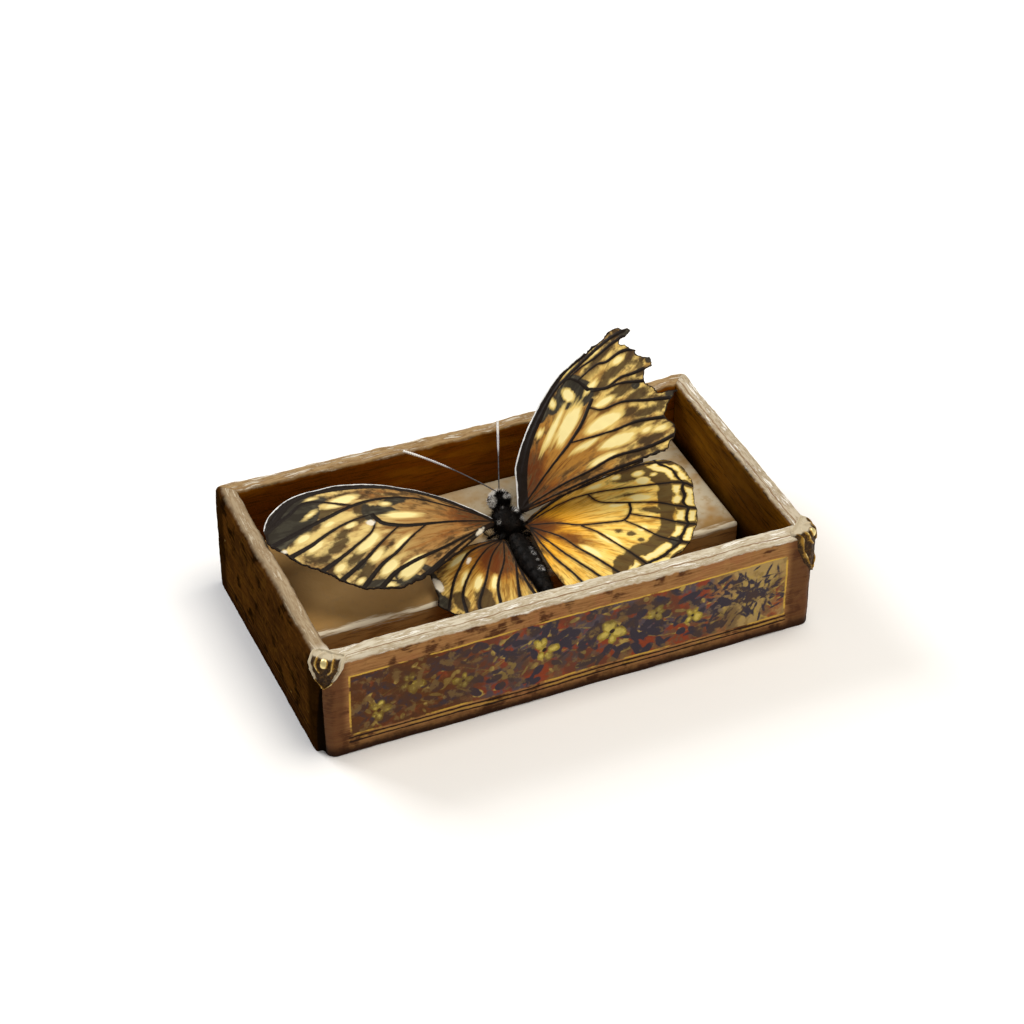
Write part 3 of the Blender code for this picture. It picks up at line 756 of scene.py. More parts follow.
def make_cap(name):
    side, cut, reach, tall, shift = CAPS[name]
    tongue, bend, rows, columns = CAP_DEPTH - cut / math.sqrt(2), CORNER_ROUND, 110, 56
    # the way from the tongue's end on the rim, round the bend and down to the foot, by height
    way, share = np.meshgrid(np.linspace(-tongue + bend, tall, rows), np.linspace(-1, 1, columns),
                             indexing="ij")
    half = np.interp(way / tall, SHIELD_DOWN, SHIELD_HALF) * reach
    half = half * (0.72 + 0.28 * ease(way, -tongue + bend, -tongue + bend + 1.6))
    across = share * np.maximum(half, 0.02) + shift
    edge = np.minimum((1 - np.abs(share)) * half,
                      np.minimum(way + tongue - bend, (tall - way) * 0.6))
    border = np.exp(-((edge - 0.32) / 0.2) ** 2)
    # a bead between two curls, over small scrolls
    along, down = across - shift, way - 0.9
    bead = np.sqrt(np.clip(1 - (along ** 2 + down ** 2) / 0.95 ** 2, 0, 1))
    out = np.hypot(along, down * 0.75)
    curls = np.exp(-((out - 1.8) / 0.28) ** 2) * ease(np.abs(along), 0.5, 1.0)
    flat = np.stack([across.ravel(), way.ravel(), 0 * way.ravel()], 1)
    scrolls = 0.5 + 0.5 * np.sin(9 * lumps(flat, 1.9, 81)).reshape(way.shape)
    relief = 0.3 + 0.38 * border + 0.12 * scrolls * (out > 2.1) + 0.45 * np.maximum(bead, curls)
    proud = np.minimum(relief * ease(edge, -0.1, 0.25), CAP_PROUD)
    angle = np.clip(way / bend, 0, math.pi / 2)
    shells = []
    for height in (proud, np.full_like(proud, -0.4)):
        x, y = corner_path(across, height * np.sin(angle), cut)
        room = np.maximum(CAP_DEPTH - (x + y) / math.sqrt(2), bend)
        inwards = bend * (1 - np.sin(angle)) + np.maximum(-way, 0) / (tongue - bend) * (room - bend)
        z = HEIGHT - bend * (1 - np.cos(angle)) - np.maximum(way - bend * math.pi / 2, 0)
        x, y = x + inwards / math.sqrt(2), y + inwards / math.sqrt(2)
        place = np.stack([side * (LONG - x), y - WIDE, z + height * np.cos(angle)], 2)
        place = place.reshape(-1, 3)
        shells.append(buckle(place)[0] + (0, SET_BACK, 0))
    count = rows * columns
    front = grid_faces(rows, columns)
    faces = [face[::-1] for face in front] + [tuple(i + count for i in face) for face in front]
    number = np.arange(count).reshape(rows, columns)
    rim = [*number[0], *number[1:, -1], *number[-1, -2::-1], *number[-2:0:-1, 0]]
    faces += [(a, b, b + count, a + count) for a, b in zip(rim, rim[1:] + rim[:1])]
    if side > 0:
        faces = [face[::-1] for face in faces]
    high = np.maximum(np.maximum(border * 0.7, bead * 1.4), curls) + 0.35 * scrolls * (out > 2.1)
    # a pale painted highlight over the top bend on the rim and down the left cap's edges
    pale_painted_highlight = np.maximum(1 - ease(way, -0.6, 1.0),
                      (side < 0) * (1 - ease(edge, 0.4, 1.1)) * (1 - ease(way / tall, 0.5, 0.8)))
    high, pale_painted_highlight = (np.concatenate([field.ravel(), np.zeros(count)]) for field in (high, pale_painted_highlight))
    return make_piece(name + "_stamped", keep_in_box(np.concatenate(shells)), faces,
                      {"high": high, "pale_painted_highlight": pale_painted_highlight})


caps = {name: make_cap(name) for name in CAPS}
# Stamped brass, gilt and tarnished: its hollows are dark with old varnish and its rubbed edges are
# bright metal. It is painted pale and dull on the rim and down the left cap's edges, a painted
# highlight, and its highest relief is painted pale cream, partly rubbed brass and partly painted
# highlight.
finish, tree, shader = new_finish("tarnished_gilt_brass", Specular_IOR_Level=0.15)
high, pale_painted_highlight = from_mesh(tree, "high", "pale_painted_highlight")
small = grain(tree, 0.7, detail=5)
rubbed = worn(high, 0.6, 0.2, 1.3, small, over=True)
pale_painted_highlight = worn(pale_painted_highlight, 0.5, 0.2, 0.9, small, 0.9, over=True)
colour = paint("2E1C08", [
    (worn(small, 0.45, 0.08), "4E3612"),
    (rubbed, "94702C"),
    # partly rubbed brass, partly painted highlight: the highest relief, the bead most of all, is painted
    # pale cream
    (worn(high, 1.0, 0.12, 0.5, small, over=True), "F0DC9A"),
    (pale_painted_highlight, "C8BCA2"),
])
connect(shader, Base_Color=colour, Metallic=dull(0.0, [(rubbed, 0.75), (pale_painted_highlight, 0.2)]),
        Roughness=dull(0.7, [(rubbed, 0.38), (pale_painted_highlight, 0.7)]), Normal=emboss([(small, 0.05)]))
for name, piece in caps.items():
    put_in_place(piece, finish, "cap_gilt", name)

# %% [markdown]
# ## The wings' shapes
# A wing is a dry membrane on stiff veins, covered with scales. Each is drawn flat, span across
# chord, as in the CAD model, then bowed and turned about its root. Its outline is smoothed and
# its outer edge frayed. The flat shape is filled with small triangles, because veins, pleats and
# markings then all follow from how far each point lies from lines drawn on the wing.

# %% Outlines, veins and markings, in mm along the span and across the chord
MARKINGS = ("dark", "pale", "warm", "brown", "white")
# Frayed and fray are the corners that fray and how far, vein is a vein's half width and how much
# that grows towards the edge, and tone says where burnt orange and gold end. Inks are the colours
# near the root, in the middle and of the ground. Each marking is an oval: its middle, half length,
# half width and turn. The first vein is the front edge's, with half widths in costa_dark.
# Edge sets the width of a painted highlight along the front edge.
WINGS = {}
WINGS["forewing_left"] = dict(
    side=-1, root=(-0.5, 7.0, 16.8), sweep=3.0, lift=9.3, pitch=15.5, length=52.0, arch=3.5, camber=1.0,
    mid_chord=0.0, half_chord=14.0, frayed=(9, 19), fray=0.45, tight=0.9, costa_dark=(0.7, 0.6, 0.8, 1.0),
    border=1.3, smoke=9.0, tone=(5, 27), shade=0.65, vein=(0.17, 0.42), edge=0.18,
    inks=("845424", "AA824A", "DEC47C"),
    outline=[(1.1, 0.9), (8.9, 4.5), (17.7, 7.6), (25.5, 9.6), (32.8, 10.7), (38.8, 10.4), (44.3, 9.4),
        (47.8, 7.7), (50.6, 5.2), (52.2, 2.0), (52.2, -1.7), (49.3, -5.4), (46.1, -8.9), (43.2, -10.9),
        (40.9, -13.0), (36.3, -16.3), (32.9, -17.0), (28.0, -17.5), (24.0, -16.4), (20.5, -14.8),
        (12.1, -9.3), (5.0, -3.8), (1.1, -1.0)],
    dark=[(26.6, 2.3, 3.5, 1.5, 8), (23.4, 4.7, 3.0, 0.9, -8), (29.8, 2.2, 1.2, 2.2, 0),
        (46.5, 3.4, 7.5, 5.0, -35), (50.5, -0.5, 3.4, 3.2, 0), (41.5, 6.8, 4.0, 1.3, -10),
        (31.0, -15.8, 5.0, 1.0, 5), (25.0, -15.2, 4.2, 1.5, 24), (20.0, -13.6, 3.0, 0.8, 35),
        (6.0, -4.0, 2.6, 0.4, -35), (34.6, -10.6, 1.6, 0.7, -40)],
    brown=[(38.2, -5.4, 2.8, 1.2, -30), (34.0, -12.6, 3.5, 1.2, -50), (30.5, 3.2, 2.2, 1.6, 0),
        (39.5, 3.6, 5.5, 1.2, -15), (44.0, -1.0, 4.5, 0.8, -28), (35.0, -8.6, 3.5, 1.1, -38),
        (31.4, 0.8, 2.6, 1.0, -25), (36.6, -2.6, 2.8, 0.8, -32), (27.6, -6.9, 3.0, 0.5, -38),
        (42.0, -8.0, 2.2, 1.0, -30), (33.6, 7.9, 5.0, 0.6, -4), (22.5, 6.6, 4.5, 0.5, 3),
        (12.0, -6.4, 5.0, 0.5, -30)],
    pale=[(25.3, 4.2, 1.3, 0.6, 0), (44.7, -1.9, 2.1, 0.9, -28), (42.8, -4.6, 2.4, 0.9, -30),
        (49.6, -4.2, 0.7, 0.5, -30), (39.0, -10.6, 1.6, 0.9, -30), (29.6, -16.2, 1.5, 0.7, 0),
        (47.5, -7.0, 0.5, 0.4, 0), (35.6, -14.6, 1.2, 0.7, -30), (41.8, 3.9, 1.8, 0.6, -25),
        (41.0, 7.9, 1.4, 0.4, -12), (23.8, -12.4, 4.2, 1.5, -36), (28.7, -12.0, 3.0, 1.2, -38),
        (31.9, -5.4, 3.6, 1.4, -36), (34.6, 6.2, 4.2, 1.3, -14), (34.4, -0.6, 1.6, 0.8, -20),
        (30.8, -9.0, 2.6, 1.0, -38), (24.5, -6.5, 3.4, 0.9, -38), (22.5, 0.8, 4.5, 1.0, 2),
        (38.6, 0.6, 1.6, 0.7, -22)],
    white=[(5.4, -3.4, 1.5, 0.45, -42), (49.4, -4.3, 0.6, 0.45, 0), (29.9, -0.6, 0.9, 0.7, 0)],
    warm=[(5.0, 0.6, 8.0, 3.4, 0), (30.0, 7.6, 5.5, 1.3, -3), (13.0, -4.4, 4.0, 0.8, -25)],
    veins=[
        [(1.3, 0.5), (11.2, 5.0), (20.0, 7.9), (26.6, 9.3), (35.8, 9.9), (41.2, 9.5), (45.7, 7.9),
         (51.6, 2.0)],
        [(1.3, 0.2), (7.2, 2.1), (14.0, 3.9), (19.0, 5.2), (25.4, 5.6), (32.0, 4.6), (39.9, 1.8),
         (52.2, -2.5)],
        [(1.3, -0.1), (10.8, -1.1), (18.2, -2.0), (22.9, -2.1), (27.2, -1.1), (28.9, 1.0)],
        [(33.0, 4.6), (41.6, 7.2), (46.4, 4.7), (51.7, 1.7)],
        [(28.7, 1.6), (34.0, 0.4), (39.0, -1.6), (44.0, -4.2), (48.7, -5.9)],
        [(28.7, -0.1), (30.5, -3.1), (34.9, -6.2), (39.0, -8.7), (43.5, -11.0)],
        [(23.8, -2.1), (25.5, -3.2), (30.2, -6.9), (34.1, -10.1), (39.8, -13.8)],
        [(17.8, -2.1), (21.9, -5.1), (26.6, -8.9), (29.9, -11.0), (32.8, -13.6), (35.8, -16.5)],
        [(1.6, -0.5), (9.5, -5.1), (16.3, -8.5), (22.6, -11.0), (27.8, -13.5), (32.0, -17.0)],
        [(1.6, -0.8), (8.0, -5.0), (13.0, -8.5), (19.0, -13.0), (22.4, -15.2)]])
WINGS["forewing_right"] = dict(
    side=1, root=(4.0, 7.0, 16.8), sweep=27.0, lift=39.0, pitch=8.0, length=48.0, arch=1.5, camber=1.0,
    mid_chord=-8.0, half_chord=18.0, frayed=(8, 28), fray=0.8, tight=0.45,
    costa_dark=(2.4, 1.9, 0.7, 0.35), border=0.6, smoke=9.0, tone=(11, 27), shade=0.6, vein=(0.18, 0.28),
    edge=0.32, inks=("5E2C10", "AE7A32", "E8CA74"),
    outline=[(1.8, 0.6), (3.8, 1.9), (6.4, 3.6), (9.0, 5.4), (13.3, 6.6), (18.6, 7.5), (24.9, 7.9),
        (31.4, 7.4), (38.5, 4.9), (43.5, 3.3), (46.3, 1.8), (48.1, -1.5), (46.1, -2.2), (43.8, -1.3),
        (44.6, -3.4), (44.1, -5.1), (43.2, -6.6), (44.3, -9.1), (42.4, -10.6), (40.7, -9.8),
        (39.0, -11.6), (38.3, -14.8), (40.6, -18.7), (36.6, -18.3), (34.1, -19.3), (33.6, -21.5),
        (30.7, -23.8), (26.2, -22.9), (22.9, -19.9), (15.6, -13.2), (8.1, -7.0), (1.8, -1.4)],
    dark=[(30.2, 0.4, 3.0, 2.7, 20), (28.5, 2.9, 3.3, 2.7, 0), (25.0, 4.6, 2.2, 1.5, 0),
        (31.2, 3.2, 2.0, 2.2, 0), (22.0, 5.6, 1.8, 0.9, 0), (46.5, -0.8, 1.6, 1.2, 0),
        (44.0, -9.2, 1.4, 1.1, 0), (39.6, -17.8, 2.2, 0.8, -40), (37.0, -9.6, 0.9, 0.8, 0)],
    brown=[(37.5, -3.4, 4.0, 1.2, -22), (34.5, -7.3, 4.5, 1.3, -25), (38.5, 1.2, 4.5, 0.8, -15),
        (33.0, -2.6, 3.0, 1.1, -15), (41.8, -4.9, 2.0, 1.0, 0), (35.5, -11.2, 2.8, 1.2, -38),
        (30.2, -14.6, 2.4, 1.1, -40), (24.0, -17.8, 3.4, 0.9, -42), (13.5, -9.2, 3.0, 0.4, -38),
        (31.0, -11.2, 2.5, 0.9, -35), (28.0, -18.6, 3.5, 0.9, -38), (33.0, -14.8, 3.0, 1.0, -40)],
    pale=[(28.5, 2.9, 1.8, 1.25, 60), (25.2, 5.0, 1.3, 0.75, 30), (33.5, 6.0, 3.6, 0.55, -12),
        (20.5, 1.9, 5.5, 0.8, 5), (22.5, 0.4, 5.0, 0.6, 2), (18.2, 4.2, 1.3, 0.6, 0),
        (30.8, -5.4, 2.6, 0.9, -30), (26.6, -7.6, 4.8, 1.5, -32), (24.6, -12.6, 4.5, 1.3, -40),
        (22.6, -0.9, 5.5, 1.5, 2), (32.5, -0.9, 2.2, 0.8, -10), (29.4, -16.8, 1.6, 0.7, -40),
        (31.2, -19.4, 2.0, 0.8, -45), (40.2, -2.9, 1.6, 0.8, -25), (38.9, 2.9, 2.4, 0.5, -20),
        (19.6, -11.8, 3.6, 0.9, -38), (20.4, -6.6, 3.4, 0.7, -32)],
    warm=[(8.6, 1.4, 8.0, 3.4, 12), (7.0, -3.5, 6.0, 1.6, -38)],
    veins=[
        [(1.9, 0.3), (6.3, 3.2), (12.5, 5.9), (18.3, 7.0), (25.1, 7.2), (31.9, 6.9), (38.1, 4.6),
         (44.8, 2.5)],
        [(1.9, 0.0), (8.9, 3.3), (15.2, 5.2), (19.5, 5.9), (25.5, 6.2), (30.5, 5.7), (37.3, 3.7),
         (43.0, 1.8), (46.8, -0.4)],
        [(1.9, -0.3), (11.3, -1.8), (18.4, -3.1), (24.1, -3.4), (29.8, -2.6)],
        [(31.5, 4.9), (35.3, 3.5), (38.7, 1.8), (42.5, 0.5), (45.4, -1.0)],
        [(32.1, 2.6), (37.1, 0.8), (38.7, -0.9), (42.1, -2.5), (43.9, -4.6)],
        [(31.5, -0.5), (33.6, -4.0), (37.0, -5.7), (39.0, -7.6), (40.9, -9.1)],
        [(31.4, -1.6), (33.4, -4.2), (35.8, -6.3), (38.0, -9.7), (39.6, -12.0)],
        [(28.1, -3.2), (28.9, -5.9), (32.4, -9.0), (35.2, -13.6), (37.9, -17.7)],
        [(19.5, -3.5), (22.9, -7.3), (26.1, -10.7), (29.7, -13.8), (32.5, -17.3), (34.7, -20.6)],
        [(1.9, -0.5), (10.4, -6.1), (15.9, -10.4), (21.0, -13.7), (25.4, -18.4), (28.2, -20.8),
         (31.4, -23.0)],
        [(2.0, -0.8), (8.8, -6.6), (14.1, -11.2), (18.3, -14.8), (23.1, -19.2), (26.4, -22.0)],
        [(29.3, 5.2), (31.5, 4.9), (32.1, 2.6), (31.5, -0.5)]])
WINGS["hindwing_left"] = dict(
    side=-1, root=(-0.2, 3.0, 15.2), sweep=-29.0, lift=-4.0, pitch=0.0, length=26.0, arch=0.6, camber=0.0,
    mid_chord=-6.0, half_chord=12.0, frayed=(3, 12), fray=0.5, tight=0.9, costa_dark=(0.3, 0.3, 0.3, 0.3),
    border=0.9, smoke=5.0, tone=(9, 17), shade=0.45, vein=(0.16, 0.22), edge=0.0,
    inks=("70420C", "AC7A2A", "E4C26A"),
    outline=[(1.0, 0.9), (8.0, 5.2), (14.0, 7.2), (18.4, 6.8), (20.3, 4.0), (23.5, 0.0), (25.2, -1.6),
        (25.6, -4.3), (25.2, -8.0), (23.4, -12.0), (20.2, -15.2), (16.0, -17.4), (11.5, -18.0),
        (8.6, -14.0), (5.8, -8.0), (1.2, -1.6)],
    dark=[(23.9, -2.0, 2.2, 1.3, -60), (22.3, 0.7, 2.4, 0.6, -60), (19.0, 4.6, 1.6, 0.8, -60)],
    brown=[(19.0, -9.5, 6.0, 2.0, -50), (21.5, -5.0, 3.0, 1.6, -60)],
    pale=[(15.8, -1.4, 2.8, 0.9, -25), (15.0, -4.4, 2.6, 1.0, -30), (13.0, -7.4, 2.6, 1.0, -40),
        (12.0, 3.6, 3.4, 0.9, 0)],
    white=[(20.4, 2.2, 2.2, 1.0, -62), (10.8, 1.6, 0.9, 0.4, -20)],
    warm=[(6.0, -3.0, 7.0, 5.0, -40)],
    veins=[
        [(1.0, 0.5), (7.9, 3.1), (14.1, 1.5), (18.7, -0.5), (24.9, -4.3)],
        [(1.1, 0.2), (6.1, 0.7), (14.3, -1.4), (20.0, -4.2), (24.0, -8.7)],
        [(1.2, 0.0), (6.9, -1.6), (13.9, -5.5), (20.0, -8.6), (22.5, -11.8)],
        [(1.2, -0.4), (6.4, -4.6), (13.4, -8.4), (19.0, -13.9)],
        [(1.2, -0.8), (3.6, -5.2), (8.5, -9.7), (13.7, -14.5), (15.0, -16.9)],
        [(1.2, -1.0), (4.8, -6.4), (9.2, -13.0), (11.4, -17.2)]])
WINGS["hindwing_right"] = dict(
    side=1, root=(4.0, 3.0, 15.6), sweep=-1.5, lift=7.0, pitch=3.0, length=39.0, arch=1.0, camber=0.8,
    mid_chord=-8.0, half_chord=16.0, frayed=(4, 17), fray=0.35, tight=0.9,
    costa_dark=(0.35, 0.3, 0.25, 0.25), border=0.35, smoke=1.5, tone=(4, 14), shade=0.3,
    vein=(0.17, 0.12), edge=0.0, inks=("84440A", "F4B02C", "FAD874"), rows=(4, 14),
    outline=[(1.3, 2.3), (9.0, 5.4), (21.0, 6.9), (31.5, 7.4), (36.0, 6.4), (38.3, 3.4), (38.6, -1.7),
        (37.8, -5.5), (36.4, -9.0), (34.9, -14.0), (32.6, -17.7), (29.4, -21.2), (24.6, -23.8),
        (18.6, -24.8), (12.2, -24.8), (5.5, -23.6), (1.6, -20.5), (0.9, -14.6), (0.9, -8.0), (1.2, -1.0)],
    dark=[(27.5, -18.4, 2.4, 0.9, 40)],
    brown=[(29.5, 4.4, 7.5, 2.2, -3), (33.4, 0.5, 2.0, 3.4, 8), (27.0, -8.5, 3.0, 1.0, -35),
        (17.6, -11.0, 0.9, 0.6, -40), (19.6, -12.9, 1.0, 0.7, -40), (24.5, -1.6, 2.4, 0.5, -15),
        (20.8, -15.4, 0.9, 0.7, -40)],
    pale=[(18.9, 4.6, 2.2, 0.8, 0), (28.9, 4.2, 1.4, 0.9, 0), (33.4, 5.4, 0.9, 0.7, 0),
        (28.8, 1.6, 1.6, 1.5, 0), (31.8, 2.6, 0.8, 0.6, 0), (24.0, 5.2, 1.2, 0.8, 0),
        (26.0, -3.4, 2.6, 1.2, -20), (22.6, -12.6, 1.4, 1.0, 0), (25.4, -9.9, 1.2, 0.8, 0),
        (21.0, -3.4, 2.6, 0.9, -12), (15.0, -12.4, 3.6, 1.2, -58), (10.4, -14.0, 3.4, 0.9, -66)],
    warm=[(3.0, -1.0, 6.0, 3.4, -20), (8.0, -8.0, 5.5, 2.0, -55)],
    veins=[
        [(1.4, 2.0), (5.5, 3.6), (11.3, 5.3), (16.2, 5.9), (24.7, 6.6), (31.5, 6.6), (37.0, 4.8)],
        [(1.4, 1.7), (10.3, 3.2), (16.4, 2.9), (22.1, 1.5), (28.9, -0.5), (35.7, -2.5), (37.8, -5.0)],
        [(16.4, 2.9), (17.1, 0.1), (18.8, -1.7), (23.5, -4.2), (28.6, -6.7), (32.1, -9.5), (35.8, -12.0)],
        [(1.4, 1.2), (7.1, -1.9), (11.4, -5.5), (17.1, -7.8), (20.1, -8.6), (22.4, -6.6), (23.1, -4.4)],
        [(22.0, -7.5), (24.1, -9.3), (27.0, -11.4), (30.0, -14.1), (33.4, -16.5)],
        [(20.1, -9.0), (22.5, -12.7), (24.7, -16.4), (28.0, -19.6), (29.8, -21.0)],
        [(11.3, -5.8), (13.5, -9.4), (15.4, -13.8), (17.3, -18.1), (19.8, -24.7)],
        [(1.6, 0.6), (6.0, -5.8), (8.0, -11.1), (10.2, -15.9), (13.9, -24.7)],
        [(1.6, 0.2), (3.3, -5.4), (5.3, -11.8), (8.6, -20.5), (9.8, -24.2)],
        [(1.5, -0.2), (1.9, -5.7), (2.8, -11.5), (4.4, -17.6), (5.4, -23.2)]])
print(sum(len(wing["veins"]) for wing in WINGS.values()), "veins")

# %% Lines and areas on a flat wing
def smooth_outline(wing, step=0.28):
    """The outline as a close row of points: a curve through its corners, frayed in places."""
    corners = np.array(wing["outline"])
    before, after = np.roll(corners, 1, 0), np.roll(corners, -1, 0)
    beyond = np.roll(corners, -2, 0)
    rows, weights = [], []
    first, last = wing["frayed"]
    for i, (p, a, b, q) in enumerate(zip(before, corners, after, beyond)):
        count = max(2, int(np.linalg.norm(b - a) / step))
        t = (np.arange(count) / count)[:, None]
        start, end = (b - p) / 2 * wing["tight"], (q - a) / 2 * wing["tight"]
        rows.append((2 * t ** 3 - 3 * t ** 2 + 1) * a + (t ** 3 - 2 * t ** 2 + t) * start
                    + (3 * t ** 2 - 2 * t ** 3) * b + (t ** 3 - t ** 2) * end)
        weights.append(np.full(count, float(first <= i < last)))
    line, weight = np.concatenate(rows), np.concatenate(weights)
    ahead = np.roll(line, -1, 0) - np.roll(line, 1, 0)
    inwards = np.stack([ahead[:, 1], -ahead[:, 0]], 1)
    inwards /= np.linalg.norm(inwards, axis=1, keepdims=True)
    flat = np.column_stack([line, np.zeros(len(line))])
    nibble = (np.abs(lumps(flat, 1.7, 51)) + 0.6 * np.abs(lumps(flat, 0.6, 53)))
    return line + inwards * (nibble * weight * wing["fray"])[:, None]


def inside(points, outline):
    """Which points lie inside a closed outline."""
    x, y = points.T
    found = np.zeros(len(points), dtype=bool)
    for (x1, y1), (x2, y2) in zip(outline, np.roll(outline, -1, 0)):
        if y1 != y2:
            found ^= ((y1 > y) != (y2 > y)) & (x < (x2 - x1) * (y - y1) / (y2 - y1) + x1)
    return found


def line_distance(points, line, closed=False):
    """Distance of each point from a line, and how far along it the nearest place lies, 0 to 1."""
    line = np.asarray(line, dtype=float)
    ends = np.roll(line, -1, 0) if closed else line[1:]
    starts = line if closed else line[:-1]
    lengths = np.linalg.norm(ends - starts, axis=1)
    total, passed = lengths.sum(), 0.0
    best, share = np.full(len(points), 1e9), np.zeros(len(points))
    for start, end, length in zip(starts, ends, lengths):
        if length == 0:
            continue
        way = (end - start) / length
        t = np.clip((points - start) @ way, 0, length)
        gap = np.linalg.norm(points - start - t[:, None] * way, axis=1)
        closer = gap < best
        best[closer], share[closer] = gap[closer], (passed + t[closer]) / total
        passed += length
    return best, share


def curve_through(points, count=6):
    """A smooth open line through a few points."""
    points = np.array(points, dtype=float)
    padded = np.concatenate([[2 * points[0] - points[1]], points, [2 * points[-1] - points[-2]]])
    rows = []
    for p, a, b, q in zip(padded, padded[1:], padded[2:], padded[3:]):
        t = (np.arange(count) / count)[:, None]
        rows.append(0.5 * (2 * a + (b - p) * t + (2 * p - 5 * a + 4 * b - q) * t ** 2
                           + (3 * a - p - 3 * b + q) * t ** 3))
    return np.concatenate(rows + [points[-1:]])


print("left forewing's outline:", len(smooth_outline(WINGS["forewing_left"])), "points")

# %% Bow and turn a wing, then give it its thickness, veins and pleats
MEMBRANE, VEIN_HEIGHT, POINT_GAP = 0.13, 0.13, 0.25     # mm
PLEAT, CURL = 0.16, 0.22      # mm: how deep the skin sags between veins, how far its edge curls


def place_wing(wing, u, w, h):
    """Points of the finished wing, in mm, from places along its span, chord and height."""
    t = np.clip(u / wing["length"], 0, 1.1)
    across = (w - wing["mid_chord"]) / wing["half_chord"]
    bow = wing["arch"] * 4 * t * (1 - t)
    bow = bow + wing["camber"] * (1 - across * across) * np.minimum(1, 3 * t)
    place = [u, w, h + bow]
    for a, b, degrees in ((1, 2, wing["pitch"]), (2, 0, -wing["lift"]), (0, 1, wing["sweep"])):
        cosine, sine = cos_sin(degrees)
        place[a], place[b] = (place[a] * cosine - place[b] * sine,
                              place[a] * sine + place[b] * cosine)
    x, y, z = place
    root = wing["root"]
    return np.stack([root[0] + wing["side"] * x, root[1] + y + SET_BACK, root[2] + z], 1)


def largest_patch(flat, triangles):
    """Keep the triangles that join edge to edge: a frayed tip can pinch off as a loose speck."""
    beside = {}
    for i, tri in enumerate(triangles):
        for a, b in zip(tri, tri[1:] + tri[:1]):
            beside.setdefault((min(a, b), max(a, b)), []).append(i)
    seen, best = set(), []
    for start in range(len(triangles)):
        if start not in seen:
            patch = [start]
            seen.add(start)
            for i in patch:
                tri = triangles[i]
                for a, b in zip(tri, tri[1:] + tri[:1]):
                    fresh = [j for j in beside[min(a, b), max(a, b)] if j not in seen]
                    seen.update(fresh)
                    patch += fresh
            best = max(best, patch, key=len)
    used, numbers = np.unique([triangles[i] for i in sorted(best)], return_inverse=True)
    return flat[used], [tuple(tri) for tri in numbers.reshape(-1, 3).tolist()]


def fill(outline):
    """Flat points and triangles of a closed outline, with points in even rows inside it."""
    low, high = outline.min(0), outline.max(0)
    u, w = np.meshgrid(np.arange(low[0], high[0], POINT_GAP),
                       np.arange(low[1], high[1], POINT_GAP * 0.866))
    u[1::2] += POINT_GAP / 2
    grid = np.stack([u.ravel(), w.ravel()], 1)
    grid = grid[inside(grid, outline)]
    grid = grid[line_distance(grid, outline, True)[0] > 0.14]
    edges = [(i, (i + 1) % len(outline)) for i in range(len(outline))]
    found = delaunay_2d_cdt([Vector(p) for p in np.concatenate([outline, grid])], edges, [], 1, 1e-5)
    return largest_patch(np.array([tuple(p) for p in found[0]]), [tuple(f) for f in found[2]])


